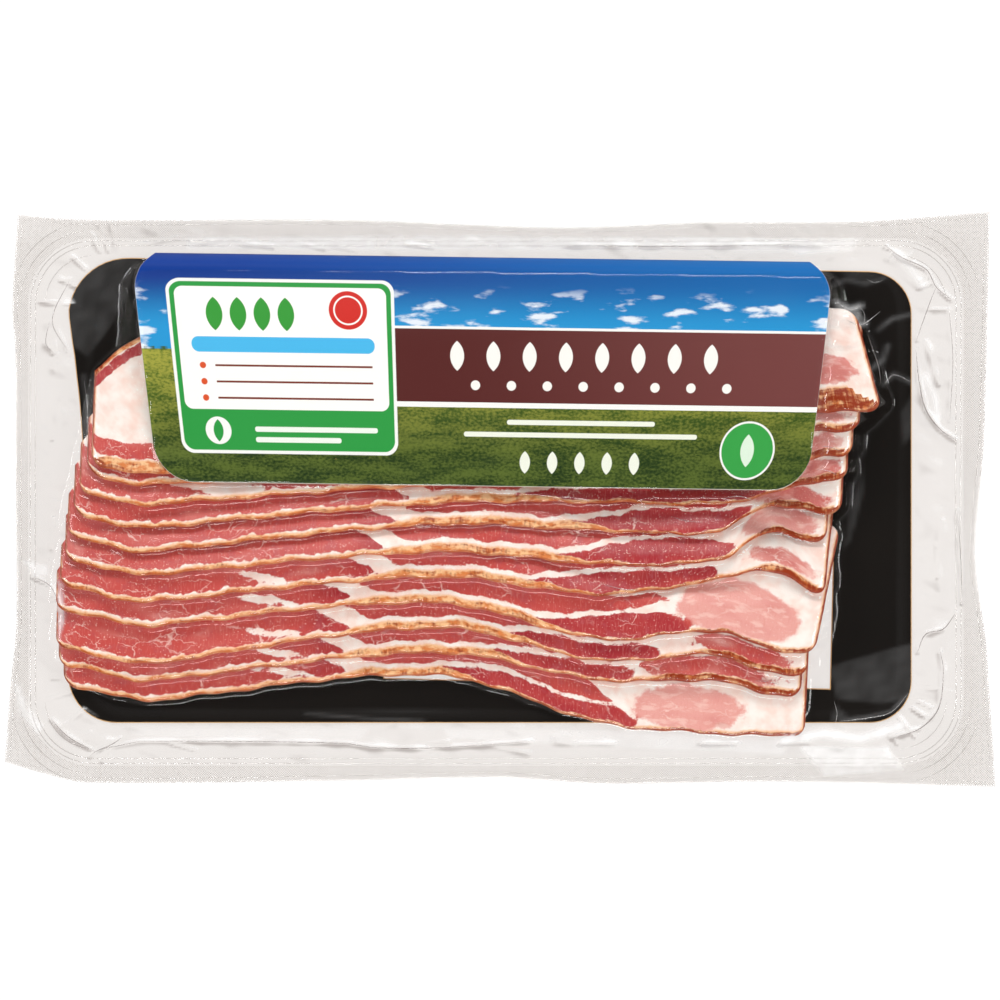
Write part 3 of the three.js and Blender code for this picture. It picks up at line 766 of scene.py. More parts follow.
def makeFilm(upperWeb, lowerWeb):
    halfLength, halfWidth = filmSize["halfLength"], filmSize["halfWidth"]
    places = spacedPlaces(halfLength, *filmSize["stripX"]), spacedPlaces(halfWidth, *filmSize["stripY"])
    px, py = np.meshgrid(*places, indexing="ij")
    nearEnd = ease(1 - (halfLength - np.abs(px)) / filmSize["edgeReach"][0])
    nearSide = ease(1 - (halfWidth - np.abs(py)) / filmSize["edgeReach"][1])
    x = px + nearEnd * np.where(px < 0, cutEdge["left"](py) + halfLength, cutEdge["right"](py) - halfLength)
    y = py + nearSide * np.where(py < 0, cutEdge["bottom"](x) + halfWidth, cutEdge["top"](x) - halfWidth)
    off = outside(x, y, boardSize, boardSize["radius"])
    top = heightAt(filmTop, x, y)
    rise = ease((off - filmSize["flat"]) / (filmSize["rise"] - filmSize["flat"]))
    under = np.maximum(flangeLevel(x, y) * rise, filmSize["lowest"])
    count = x.size
    upper = np.arange(count).reshape(x.shape)
    lower = upper + count
    rings = filmSize["rings"]
    cells = np.zeros((x.shape[0] - 1, x.shape[1] - 1), bool)
    cells[rings[0]:-rings[0], rings[1]:-rings[1]] = True
    lowerRing = quadsOf(lower)[~cells.ravel()][:, ::-1]
    first, last = rings[0], x.shape[0] - 1 - rings[0]
    low, high = rings[1], x.shape[1] - 1 - rings[1]
    strips = quadsOf(lower[first + 1:last, [low, high]])[:, ::-1]
    fans = []                        # with the strips they close the flat middle with few faces
    for j in range(low, high):
        fans.append((lower[first + 1, low], lower[first, j], lower[first, j + 1]))
        fans.append((lower[last - 1, low], lower[last, j + 1], lower[last, j]))
    fans.append((lower[first + 1, low], lower[first, high], lower[first + 1, high]))
    fans.append((lower[last - 1, low], lower[last - 1, high], lower[last, high]))
    rim = np.concatenate([upper[:, 0], upper[-1, 1:], upper[-2::-1, -1], upper[0, -2::-1]])
    wall = np.stack([rim[:-1] + count, rim[1:] + count, rim[1:], rim[:-1]], -1)
    points = np.concatenate([np.stack([x, y, z], -1).reshape(-1, 3) for z in (top, under)])
    faces = [quadsOf(upper), lowerRing, strips, np.array(fans), wall]
    used = np.unique(np.concatenate([part.ravel() for part in faces]))
    renumber = np.zeros(len(points), int)
    renumber[used] = np.arange(len(used))
    faces = [renumber[part] for part in faces]
    # the painted fold shading and the painted glare, on the upper web only
    fields = {key: np.concatenate([heightAt(table, x, y).ravel(), np.zeros(count)])[used]
              for key, table in (("foldLightShade", foldLightShadeTable), ("paintedGlare", paintedGlareTable))}
    return newPiece("film", points[used], faces, [upperWeb, lowerWeb], fields, [0, 1, 1, 1, 0])


# Board with its window

cardSize = {
    "left": -134.0, "right": 127.5, "bottom": -69.3, "top": 72.8, "radii": (13, 13, 19, 15),
    "fall": 4.2,         # from the upper left corner to the upper right one
    "chamfer": 0.3,
    # how far the left edge bows in, at places up it
    "bow": [(-50, 0), (-20, 2.5), (8, 4.7), (24, 4.0), (36, 2.9), (46, 1.3), (56, 0)],
}


def boardOutline(inset):             # from the lower right corner, counterclockwise
    left, right = cardSize["left"] + inset, cardSize["right"] - inset
    bottom, top = cardSize["bottom"] + inset, cardSize["top"] - inset
    corners = ((right, bottom, -1, 1, -90), (right, top, -1, -1, 0), (left, top, 1, -1, 90),
               (left, bottom, 1, 1, 180))
    points = []
    for (x, y, sx, sy, turn), radius in zip(corners, cardSize["radii"]):
        corner = radius - inset
        for step in range(13):
            angle = math.radians(turn + 7.5 * step)
            points.append((x + corner * (sx + math.cos(angle)), y + corner * (sy + math.sin(angle))))
        if sx > 0 > sy:              # points for the bow of the left edge
            points += [(x, place) for place in np.linspace(y - corner - 3, bottom + 20, 24)]
    return points


windowSize = {"left": -35.5, "right": 102.6, "bottom": -57.0, "top": -18.0, "tilt": -1.4}


def windowOutline(outset):
    left, right, bottom, top = (windowSize[key] for key in ("left", "right", "bottom", "top"))
    turn = math.radians(windowSize["tilt"])
    points = []
    for sx, sy in ((-1, -1), (1, -1), (1, 1), (-1, 1)):
        dx, dy = sx * ((right - left) / 2 + outset), sy * ((top - bottom) / 2 + outset)
        points.append(((left + right) / 2 + dx * math.cos(turn) - dy * math.sin(turn),
                       (bottom + top) / 2 + dx * math.sin(turn) + dy * math.cos(turn)))
    return points


def makeBoard(face, core):
    chamfer, bow = cardSize["chamfer"], curveThrough(cardSize["bow"])
    levels = ((0, boardSize["lift"]), (0, boardTop - chamfer), (chamfer, boardTop))
    mesh = bmesh.new()

    def ringOf(points, z):
        ring = []
        for x, y in points:
            fall = cardSize["fall"] * (x / 230) if y > 40 else 0
            ring.append(mesh.verts.new(((x + (bow(y) if x < -120 else 0)) * mm, (y - fall) * mm, z * mm)))
        return ring

    outer = [ringOf(boardOutline(inset), z) for inset, z in levels]
    hole = [ringOf(windowOutline(inset), z) for inset, z in levels]
    for rings, flip in ((outer, False), (hole, True)):
        for lower, upper in zip(rings[:-1], rings[1:]):
            for n in range(len(lower)):
                k = (n + 1) % len(lower)
                corners = [lower[n], lower[k], upper[k], upper[n]]
                mesh.faces.new(corners[::-1] if flip else corners).material_index = 1
    for place in (0, 2):
        edges = []
        for ring in (outer[place], hole[place]):
            edges += [mesh.edges.get((ring[n - 1], ring[n])) for n in range(len(ring))]
        filled = bmesh.ops.triangle_fill(mesh, use_beauty=True, edges=edges)
        for item in filled["geom"]:
            if isinstance(item, bmesh.types.BMFace):
                item.material_index = 0
    bmesh.ops.recalc_face_normals(mesh, faces=mesh.faces)
    data = bpy.data.meshes.new("board")
    mesh.to_mesh(data)
    mesh.free()
    data.materials.append(face)
    data.materials.append(core)
    return addObject("board", data)


# Geometry Nodes: a piece's tree is built, run, and turned into a plain mesh

def startTree(name, inputs):
    tree = bpy.data.node_groups.new(name, "GeometryNodeTree")
    tree.interface.new_socket("Geometry", in_out="INPUT", socket_type="NodeSocketGeometry")
    tree.interface.new_socket("Geometry", in_out="OUTPUT", socket_type="NodeSocketGeometry")
    for label, kind in inputs.items():
        tree.interface.new_socket(label, in_out="INPUT", socket_type=kind)
    return tree, addNode(tree, "NodeGroupInput").node.outputs


def runTree(name, source, tree, geometry, values):
    given = addNode(tree, "NodeGroupInput").node.outputs
    real = addNode(tree, "GeometryNodeRealizeInstances", None, {"Geometry": geometry})
    painted = addNode(tree, "GeometryNodeSetMaterial", None, {
        "Geometry": real, "Material": given["Material"]})
    addNode(tree, "NodeGroupOutput", None, {"Geometry": painted})
    modifier = source.modifiers.new(name, "NODES")
    modifier.node_group = tree
    for item in tree.interface.items_tree:
        if item.in_out == "INPUT" and item.name in values:
            modifier[item.identifier] = values[item.name]
    evaluated = source.evaluated_get(bpy.context.evaluated_depsgraph_get())
    mesh = bpy.data.meshes.new_from_object(evaluated)
    mesh.name = name
    source.modifiers.remove(modifier)
    piece = addObject(name, mesh)
    bpy.data.objects.remove(source)
    return piece


def pointPiece(name, points, edges, radii=None):
    mesh = bpy.data.meshes.new(name)
    mesh.from_pydata([tuple(p) for p in np.asarray(points, float) * mm], edges, [])
    if radii is not None:
        girth = mesh.attributes.new("girth", "FLOAT", "POINT")
        girth.data.foreach_set("value", np.asarray(radii, float) * mm)
    return addObject(name, mesh)


def makeKnurl(material):
    pitch, margin = sealSize["pitch"], sealSize["margin"]
    ranks = np.arange(-90, 90, pitch / 2)
    files = np.arange(-154, 154, pitch)
    px, py = np.meshgrid(files, ranks)
    px = px + (np.arange(len(ranks)) % 2)[:, None] * pitch / 2
    px, py = px.ravel(), py.ravel()
    kept = outside(px, py, sealSize, sealSize["radius"]) > sealSize["start"]
    kept &= (py < cutEdge["top"](px) - margin) & (py > cutEdge["bottom"](px) + margin)
    kept &= (px > cutEdge["left"](py) + margin) & (px < cutEdge["right"](py) - margin)
    px, py = px[kept], py[kept]
    source = pointPiece("knurl_points", np.stack([px, py, heightAt(filmTop, px, py)], -1), [])
    tree, given = startTree("knurledSeal", {
        "Dot width": "NodeSocketFloat", "Dot height": "NodeSocketFloat", "Size spread": "NodeSocketFloat",
        "Seed": "NodeSocketInt", "Material": "NodeSocketMaterial"})
    radius = addNode(tree, "ShaderNodeMath", {"operation": "MULTIPLY"}, {0: given["Dot width"], 1: 0.5})
    dot = addNode(tree, "GeometryNodeMeshCone", None, {
        "Vertices": 4, "Radius Top": 0.0, "Radius Bottom": radius, "Depth": given["Dot height"]})
    least = addNode(tree, "ShaderNodeMath", {"operation": "SUBTRACT"}, {0: 1.0, 1: given["Size spread"]})
    size = addNode(tree, "FunctionNodeRandomValue", {"data_type": "FLOAT"}, {
        2: least, 3: 1.0, "Seed": given["Seed"]}, 1)
    placed = addNode(tree, "GeometryNodeInstanceOnPoints", None, {
        "Points": given["Geometry"], "Instance": dot, "Scale": size})
    return runTree("seal_knurl", source, tree, placed, {
        "Dot width": sealSize["dotWidth"] * mm, "Dot height": sealSize["dotHeight"] * mm,
        "Size spread": sealSize["sizeSpread"], "Seed": sealSize["seed"], "Material": material})


def makeLines(name, paths, material):    # thin ridges pressed in the film along the paths
    points, edges, radii = [], [], []
    for path, radius, closed in paths:
        path = np.asarray(path, float)
        first, count = len(points), len(path)
        points += [(x, y, z) for (x, y), z in zip(path, heightAt(filmTop, path[:, 0], path[:, 1]))]
        along = np.linspace(0, 1, count)
        taper = np.ones(count) if closed else np.clip(np.sin(along * math.pi), 0.05, 1) ** 0.5
        radii += list(radius * taper)
        edges += [(first + n, first + n + 1) for n in range(count - 1)]
        edges += [(first + count - 1, first)] if closed else []
    source = pointPiece(name + "_paths", points, edges, radii)
    tree, given = startTree(name, {"Sides": "NodeSocketInt", "Material": "NodeSocketMaterial"})
    girth = addNode(tree, "GeometryNodeInputNamedAttribute", {"data_type": "FLOAT"},
                    {"Name": "girth"}, "Attribute")
    path = addNode(tree, "GeometryNodeMeshToCurve", None, {"Mesh": given["Geometry"]})
    section = addNode(tree, "GeometryNodeCurvePrimitiveCircle", None, {
        "Resolution": given["Sides"], "Radius": 1.0})
    tube = addNode(tree, "GeometryNodeCurveToMesh", None, {
        "Curve": path, "Profile Curve": section, "Scale": girth, "Fill Caps": True})
    return runTree(name, source, tree, tube, {"Sides": 6, "Material": material})


def arcOf(centreX, centreY, radius, start, end, count):
    angles = np.radians(np.linspace(start, end, count))
    return np.stack([centreX + radius * np.cos(angles), centreY + radius * np.sin(angles)], -1)


def sealPaths():                     # each path with its radius, and whether it closes
    lines, loops, arcs = [], [], []
    radius = sealSize["radius"]
    left, right = sealSize["left"] + radius, sealSize["right"] - radius
    bottom, top = sealSize["bottom"] + radius, sealSize["top"] - radius
    corners = ((right, bottom, -90), (right, top, 0), (left, top, 90), (left, bottom, 180))
    x, y = np.linspace(-150, 150, 90), np.linspace(-85, 85, 52)
    for inset in (0.25, 1.5):        # the cut edge, and a line pressed beside it
        lines += [(x, cutEdge["top"](x) - inset), (x, cutEdge["bottom"](x) + inset),
                  (cutEdge["left"](y) + inset, y), (cutEdge["right"](y) - inset, y)]
    for inset in (0.0, 1.5):
        turned = [arcOf(cx, cy, radius - inset, turn, turn + 90, 19) for cx, cy, turn in corners]
        loops.append(subdivided(np.concatenate(turned).tolist()))
    for cx, cy, turn in corners:
        for extra, margin in ((3.2, 8), (6.0, 14), (-4.5, 4)):
            arcs.append(arcOf(cx, cy, radius + extra, turn + margin, turn + 90 - margin, 30))
    lineRadius, arcRadius = sealSize["lineRadius"], sealSize["arcRadius"]
    return ([(np.stack(line, -1), lineRadius, False) for line in lines]
            + [(loop, lineRadius, True) for loop in loops] + [(arc, arcRadius, False) for arc in arcs])


def subdivided(loop):                # a closed loop with a point every 4 mm or so
    dense = []
    for (x0, y0), (x1, y1) in zip(loop, loop[1:] + loop[:1]):
        steps = max(1, round(math.hypot(x1 - x0, y1 - y0) / 4))
        dense += [(x0 + (x1 - x0) * n / steps, y0 + (y1 - y0) * n / steps) for n in range(steps)]
    return dense


def smoothPaths(lines):
    paths = []
    for knots, radius in lines:
        knots = np.array(knots, float)
        run = np.concatenate([[0], np.cumsum(np.hypot(*np.diff(knots, axis=0).T))])
        t = np.linspace(0, run[-1], max(8, int(run[-1] / 1.5)))
        x = curveThrough(list(zip(run, knots[:, 0])))(t)
        y = curveThrough(list(zip(run, knots[:, 1])))(t)
        paths.append((np.stack([x, y], -1), radius, False))
    return paths


# Materials

# painted light on the film: the folds' painted shade and painted highlight, and the strength of the painted
# glare
filmLook = {"edgeGloss": 0.25, "foldPaintedHighlight": 0.55, "paintedGlareWhite": 0.028, "foldPaintedShade": "#cbc6c4",
            "roughness": 0.1}


def laminatedFilm(name, tint, gloss, paintedGlint=0.0):   # nylon and polythene: clear, faintly grey, sharp glints; with painted shade and painted highlights on folds, painted glare patches, and a painted glint where given
    material, tree = startMaterial(name)
    facing = addNode(tree, "ShaderNodeLayerWeight", None, {"Blend": 0.5}, "Facing")
    fourth = addNode(tree, "ShaderNodeMath", {"operation": "POWER"}, {0: facing, 1: 4.0})
    share = addNode(tree, "ShaderNodeMath", {"operation": "MULTIPLY_ADD", "use_clamp": True},
                    {0: fourth, 1: filmLook["edgeGloss"], 2: gloss})
    foldLightShade = addNode(tree, "ShaderNodeAttribute", {"attribute_name": "foldLightShade"}, None, "Fac")
    paintedGlare = addNode(tree, "ShaderNodeAttribute", {"attribute_name": "paintedGlare"}, None, "Fac")
    # painted shade: folds turned from the light are tinted grey
    shaded = paintOver(tree, tint, (filmLook["foldPaintedShade"], 1.0, (foldLightShade, 0.1, 1.0)))
    # painted highlight: folds facing the light, the painted glare and any painted glint add white
    white = maskOf(tree, filmLook["foldPaintedHighlight"], (foldLightShade, -0.15, -1.0))
    white = addNode(tree, "ShaderNodeMath", {"operation": "MULTIPLY_ADD"},
                    {0: paintedGlare, 1: filmLook["paintedGlareWhite"], 2: white})
    white = addNode(tree, "ShaderNodeMath", {"operation": "ADD"}, {0: white, 1: paintedGlint})
    clear = addNode(tree, "ShaderNodeBsdfTransparent", None, {"Color": shaded})
    # a white diffuse layer that carries the painted highlights and glare
    paintedLightShader = addNode(tree, "ShaderNodeBsdfDiffuse", None, {"Color": hexColour("#ffffff")})
    webs = addNode(tree, "ShaderNodeMixShader", None, {0: white, 1: clear, 2: paintedLightShader})
    shine = addNode(tree, "ShaderNodeBsdfGlossy", None, {
        "Color": hexColour("#ffffff"), "Roughness": filmLook["roughness"]})
    mixed = addNode(tree, "ShaderNodeMixShader", None, {0: share, 1: webs, 2: shine})
    addNode(tree, "ShaderNodeOutputMaterial", None, {"Surface": mixed})
    return material


def coatedBlackCard():               # solid bleached board, printed black and varnished: deep satin black
    material, tree = startMaterial("coatedBlackCard")
    place = addNode(tree, "ShaderNodeTexCoord", None, None, "Object")
    grain = addNode(tree, "ShaderNodeTexNoise", None, {
        "Vector": place, "Scale": 900.0, "Detail": 3.0}, "Fac")
    cloud = addNode(tree, "ShaderNodeTexNoise", None, {
        "Vector": place, "Scale": 28.0, "Detail": 2.0}, "Fac")
    bump = addNode(tree, "ShaderNodeBump", None, {"Strength": 0.08, "Distance": 0.0002, "Height": grain})
    skin = addNode(tree, "ShaderNodeBsdfPrincipled", None, {
        "Base Color": paintOver(tree, "#100d0b", ("#181411", cloud)),
        "Roughness": 0.45, "Specular IOR Level": 0.12, "Normal": bump})
    addNode(tree, "ShaderNodeOutputMaterial", None, {"Surface": skin})
    return material


def cutCard():                       # the board's bare cut edge: warm buff fibre
    material, tree = startMaterial("cutCard")
    place = addNode(tree, "ShaderNodeTexCoord", None, None, "Object")
    fibre = addNode(tree, "ShaderNodeTexNoise", None, {
        "Vector": place, "Scale": 1500.0, "Detail": 4.0}, "Fac")
    colour = paintOver(tree, "#b98a52", ("#dcb684", fibre))
    skin = addNode(tree, "ShaderNodeBsdfPrincipled", None, {"Base Color": colour, "Roughness": 0.8})
    addNode(tree, "ShaderNodeOutputMaterial", None, {"Surface": skin})
    return material


meatGrains = {                       # noises in the meat: size in millimetres, detail and stretch
    "coarse": (3.4, 2.0, (1, 1, 1)), "small": (1.3, 2.0, (1, 1, 1)), "tiny": (0.6, 1.0, (1, 1, 1)),
    "blotch": (7.0, 1.0, (1.8, 1, 1)), "streak": (3.0, 3.0, (1.8, 0.7, 1)),
    "veined": (10.0, 1.0, (1, 1, 1)), "fibre": (0.5, 1.0, (1, 6, 1)), "waxy": (5.0, 2.0, (1, 1, 1)),
    "smoke": (2.0, 3.0, (2.4, 0.8, 1)), "string": (0.9, 1.0, (0.8, 4.0, 1)),
    "peel": (1.9, 3.0, (1.5, 0.9, 1)), "broken": (3.2, 1.0, (2.6, 1, 1)),
}


def smokedBelly():                   # cured, smoked pork belly: moist marbled lean, waxy fat, browned rim, its cut edge darker partly as painted contact shadow
    material, tree = startMaterial("smokedBelly")
    field = {key: addNode(tree, "ShaderNodeAttribute", {"attribute_name": key}, None, "Fac")
             for key in ("lean", "tone", "rim", "cutEdge", "brown")}
    place = addNode(tree, "ShaderNodeAttribute", {"attribute_name": "slicePlace"}, None, "Vector")
    noise = {}
    for key, (size, detail, stretch) in meatGrains.items():
        scaled = addNode(tree, "ShaderNodeVectorMath", {"operation": "DIVIDE"},
                         {0: place, 1: tuple(size * part for part in stretch)})
        noise[key] = addNode(tree, "ShaderNodeTexNoise", None, {
            "Vector": scaled, "Scale": 1.0, "Detail": detail, "Roughness": 0.55}, "Fac")

    def frayed(value, *swings):      # the value, swung to both sides by noises
        for key, share in swings:
            swing = addNode(tree, "ShaderNodeMath", {"operation": "SUBTRACT"}, {0: noise[key], 1: 0.5})
            value = addNode(tree, "ShaderNodeMath", {"operation": "MULTIPLY_ADD"},
                            {0: swing, 1: share, 2: value})
        return value

    soft = addNode(tree, "ShaderNodeMapRange", None, {      # pale lean blends into the fat more softly
        "Value": field["tone"], "From Min": 0.05, "From Max": 0.4, "To Min": 0.42, "To Max": 0.2})
    before = addNode(tree, "ShaderNodeMath", {"operation": "MULTIPLY"}, {0: soft, 1: -1.0})
    leanMask = maskOf(tree, 1.0, (frayed(field["lean"], ("coarse", 2.2), ("tiny", 0.8)), before, soft))
    tone = frayed(field["tone"], ("blotch", 0.55))
    bent = addNode(tree, "ShaderNodeTexNoise", None, {
        "Vector": place, "Scale": 0.5, "Detail": 2.0}, "Color")
    bent = addNode(tree, "ShaderNodeVectorMath", {"operation": "MULTIPLY_ADD"},
                   {0: bent, 1: (3.0, 3.0, 0.0), 2: place})
    cells = addNode(tree, "ShaderNodeVectorMath", {"operation": "DIVIDE"}, {0: bent, 1: (8.5, 3.4, 1.0)})
    vein = addNode(tree, "ShaderNodeTexVoronoi", {"feature": "DISTANCE_TO_EDGE"},
                   {"Vector": cells, "Scale": 1.0}, "Distance")
    lean = paintOver(tree, "#eaa89f",
                     ("#ca534d", 1.0, (tone, 0.0, 0.42)),
                     ("#a83038", 1.0, (tone, 0.42, 1.0)),
                     ("#e08f86", 0.4, (noise["fibre"], 0.5, 0.8)),
                     ("#b35a62", 0.35, (tone, 0.1, 0.5), (noise["coarse"], 0.5, 0.3)),
                     ("#f8d3c9", 0.6, (tone, 0.4, 0.1), (noise["streak"], 0.5, 0.68)),
                     ("#f8ddd4", 0.65, (noise["veined"], 0.53, 0.66), (vein, 0.035, 0.0)),
                     ("#f3cabf", 0.8, (noise["tiny"], 0.66, 0.74)))
    fat = paintOver(tree, "#fef5ee",
                    ("#f9dbcf", 1.0, (noise["waxy"], 0.3, 0.75)),
                    ("#f1ba88", 0.85, (frayed(field["rim"], ("small", 1.0)), -1.0, -0.1)))
    browned = frayed(field["brown"], ("smoke", 1.7), ("string", 0.9))
    rind = paintOver(tree, "#f5c593",
                     ("#da8248", 1.0, (noise["peel"], 0.38, 0.62)),
                     ("#933415", 1.0, (browned, 0.42, 1.02)))
    # the browner cut face of the rind at the lower edge, made darker as painted contact shadow where the
    # edge lies on the slice below
    cutLineAndShadow = paintOver(tree, "#a94c22", ("#8f3518", 1.0, (field["brown"], 0.4, 0.75)))
    broken = addNode(tree, "ShaderNodeMapRange", None, {
        "Value": noise["broken"], "From Min": 0.38, "From Max": 0.62, "To Min": 0.45, "To Max": 0.95})
    colour = paintOver(tree, fat, (lean, leanMask),
                       (rind, 1.0, (frayed(field["rim"], ("small", 1.3)), -0.2, 0.25)),
                       (cutLineAndShadow, broken, (frayed(field["cutEdge"], ("small", 0.9)), 1.05, 0.4)))
    rough = addNode(tree, "ShaderNodeMapRange", None, {
        "Value": noise["small"], "To Min": 0.28, "To Max": 0.5})
    bump = addNode(tree, "ShaderNodeBump", None, {
        "Strength": 0.4, "Distance": 0.0003, "Height": frayed(leanMask, ("tiny", -0.7))})
    meat = addNode(tree, "ShaderNodeBsdfPrincipled", None, {
        "Base Color": colour, "Roughness": rough, "Specular IOR Level": 0.2, "Normal": bump})
    addNode(tree, "ShaderNodeOutputMaterial", None, {"Surface": meat})
    return material


printLook = {            # places are millimetres from the label's middle and down from its crease
    "white": "#fbfaf6", "offWhite": "#f4f5f2", "cream": "#f7f4ef", "mist": "#eef2e4", "bar": "#eef5ec",
    "green": "#2f9a45", "leaf": "#3a9a3c", "red": "#cf2f28", "ribbon": "#4cb8ea", "rule": "#7a3b30",
    "soft": 0.12, "horizon": 25.4,   # how far an edge is blurred, and where the sky ends
    "panel": (-63.0, 30.5), "stamp": (-42.0, 13.0), "badge": (-86.0, 50.5), "corner": (86.8, 54.5),
    # noises: their width, height and detail
    "grains": {"cloud": (13, 4.5, 5.0), "blade": (1.1, 0.7, 2.0), "field": (16.0, 4.0, 3.0),
               "tuft": (2.5, 50, 3.0), "fibre": (0.4, 0.4, 3.0)},
    # rows of marks: place of the first one, how many across and down, and the width and height for each
    "rows": {"petals": (-8.0, 26.6, 8, 1, 11.5, 12.0), "seeds": (-2.2, 35.6, 8, 1, 11.5, 4.0),
             "sprigs": (14.0, 59.0, 5, 1, 9.0, 8.0), "rules": (-60.0, 30.5, 1, 3, 52.0, 5.0),
             "dots": (-89.0, 30.5, 1, 3, 4.0, 5.0), "leaves": (-84.0, 14.5, 4, 1, 7.5, 12.0)},
}


def printedCard():                   # coated card printed in fields of colour: sky, brown band, grass
    material, tree = startMaterial("printedCard")
    place = addNode(tree, "ShaderNodeAttribute", {"attribute_name": "printPlace"}, None, "Vector")
    coreShows = addNode(tree, "ShaderNodeAttribute", {"attribute_name": "coreShows"}, None, "Fac")
    across, down = (addNode(tree, "ShaderNodeSeparateXYZ", None, {0: place}, axis) for axis in "XY")
    look, horizon = printLook, printLook["horizon"]
    noise = {}
    for key, (width, height, detail) in look["grains"].items():
        scaled = addNode(tree, "ShaderNodeVectorMath", {"operation": "DIVIDE"},
                         {0: place, 1: (width, height, 1)})
        noise[key] = addNode(tree, "ShaderNodeTexNoise", None, {
            "Vector": scaled, "Scale": 1.0, "Detail": detail}, "Fac")

    def at(x, y):
        return [("SUBTRACT", (x, y, 0))]

    def box(moves, halfX, halfY, radius=0.0):    # how far past a box's core, and the band that is its rim
        past = place
        core = (halfX - radius, halfY - radius, 1)
        for operation, *others in (*moves, ("ABSOLUTE",), ("SUBTRACT", core), ("MAXIMUM", (0, 0, 0))):
            past = addNode(tree, "ShaderNodeVectorMath", {"operation": operation},
                           dict(enumerate([past, *others])))
        far = addNode(tree, "ShaderNodeVectorMath", {"operation": "LENGTH"}, {0: past}, "Value")
        return far, radius + look["soft"], max(radius - look["soft"], 0.0)

    def disc(moves, radius):
        return box(moves, radius, radius, radius)

    def leaf(moves, halfWidth, halfHeight):      # where two discs overlap
        radius = (halfWidth**2 + halfHeight**2) / (2 * halfWidth)
        apart = radius - halfWidth
        return [disc([*moves, ("ADD", (side * apart, 0, 0))], radius) for side in (1, -1)]

    cell, shown = {}, {}             # a row repeats its cell without end, and shows in one box only
    for key, (x, y, columns, rows, width, height) in look["rows"].items():
        cell[key] = [*at(x, y), ("WRAP", (width / 2, height / 2, 1), (-width / 2, -height / 2, -1))]
        middle = at(x + (columns - 1) * width / 2, y + (rows - 1) * height / 2)
        shown[key] = box(middle, columns * width / 2, rows * height / 2)

    patches = addNode(tree, "ShaderNodeMath", {"operation": "ADD"}, {0: noise["blade"], 1: noise["field"]})
    farGrass = paintOver(tree, "#4f6a22", ("#a3a343", 1.0, (patches, 0.75, 1.25)))
    nearGrass = paintOver(tree, "#213615", ("#5b6c2d", 1.0, (patches, 0.7, 1.3)))
    grass = paintOver(tree, farGrass, (nearGrass, 1.0, (down, 24.0, 62.0)))
    brown = paintOver(tree, "#572523", ("#74403e", 1.0, (across, -20.0, 110.0)))
    colour = paintOver(tree, "#11398b",
                       ("#1264a9", 1.0, (across, -100.0, 110.0)),
                       ("#2797d3", 1.0, (down, 2.0, 20.0)),
                       ("#eef3f9", 0.9, (down, 4.0, 10.0), (noise["cloud"], 0.53, 0.64)),
                       (grass, 1.0, (down, horizon, horizon + 0.4)),
                       ("#3f5a20", 1.0, box(at(0, horizon), 110, 0.5), (noise["tuft"], 0.4, 0.6)),
                       (look["offWhite"], 1.0, box(at(40.0, 30.0), 76.0, 12.4)),
                       (brown, 1.0, box(at(40.0, 29.6), 76.0, 11.2)),
                       (look["cream"], 1.0, *leaf(cell["petals"], 2.2, 4.6), shown["petals"]),
                       (look["cream"], 1.0, disc(cell["seeds"], 1.5), shown["seeds"]),
                       (look["mist"], 1.0, box(at(32.0, 46.8), 24.0, 0.75, 0.7)),
                       (look["mist"], 1.0, box(at(32.0, 50.6), 38.0, 0.75, 0.7)),
                       (look["mist"], 1.0, *leaf(cell["sprigs"], 1.7, 3.4), shown["sprigs"]))
    colour = paintOver(tree, colour,             # the panel at the left
                       (look["offWhite"], 1.0, box(at(*look["panel"]), 35.5, 27.0, 4.0)),
                       (look["green"], 1.0, box(at(*look["panel"]), 34.5, 26.0, 3.4)),
                       (look["white"], 1.0, box(at(-63.0, 25.0), 33.0, 19.0, 2.6)),
                       (look["ribbon"], 1.0, box(at(-63.0, 24.0), 29.0, 2.4, 2.3)),
                       (look["rule"], 1.0, box(cell["rules"], 25.0, 0.25), shown["rules"]),
                       ("#d8552c", 1.0, disc(cell["dots"], 1.0), shown["dots"]),
                       (look["leaf"], 1.0, *leaf(cell["leaves"], 2.6, 5.2), shown["leaves"]))
    for radius, name in ((6.6, "white"), (6.0, "red"), (4.6, "white"), (4.1, "red")):
        colour = paintOver(tree, colour, (look[name], 1.0, disc(at(*look["stamp"]), radius)))
    colour = paintOver(tree, colour,
                       (look["bar"], 1.0, box(at(-54.0, 50.0), 20.0, 0.8, 0.7)),
                       (look["bar"], 1.0, box(at(-60.0, 53.2), 14.0, 0.8, 0.7)),
                       (look["offWhite"], 1.0, disc(at(*look["badge"]), 4.2)),
                       (look["green"], 1.0, *leaf(at(*look["badge"]), 1.6, 3.4)),
                       (look["offWhite"], 1.0, disc(at(*look["corner"]), 9.0)),
                       ("#3aa14a", 1.0, disc(at(*look["corner"]), 8.4)),
                       ("#dcefdc", 1.0, *leaf(at(*look["corner"]), 2.2, 5.0)),
                       ("#efe9dd", coreShows))
    bump = addNode(tree, "ShaderNodeBump", None, {
        "Strength": 0.05, "Distance": 0.0002, "Height": noise["fibre"]})
    skin = addNode(tree, "ShaderNodeBsdfPrincipled", None, {
        "Base Color": colour, "Roughness": 0.55, "Specular IOR Level": 0.1, "Normal": bump})
    addNode(tree, "ShaderNodeOutputMaterial", None, {"Surface": skin})
    return material


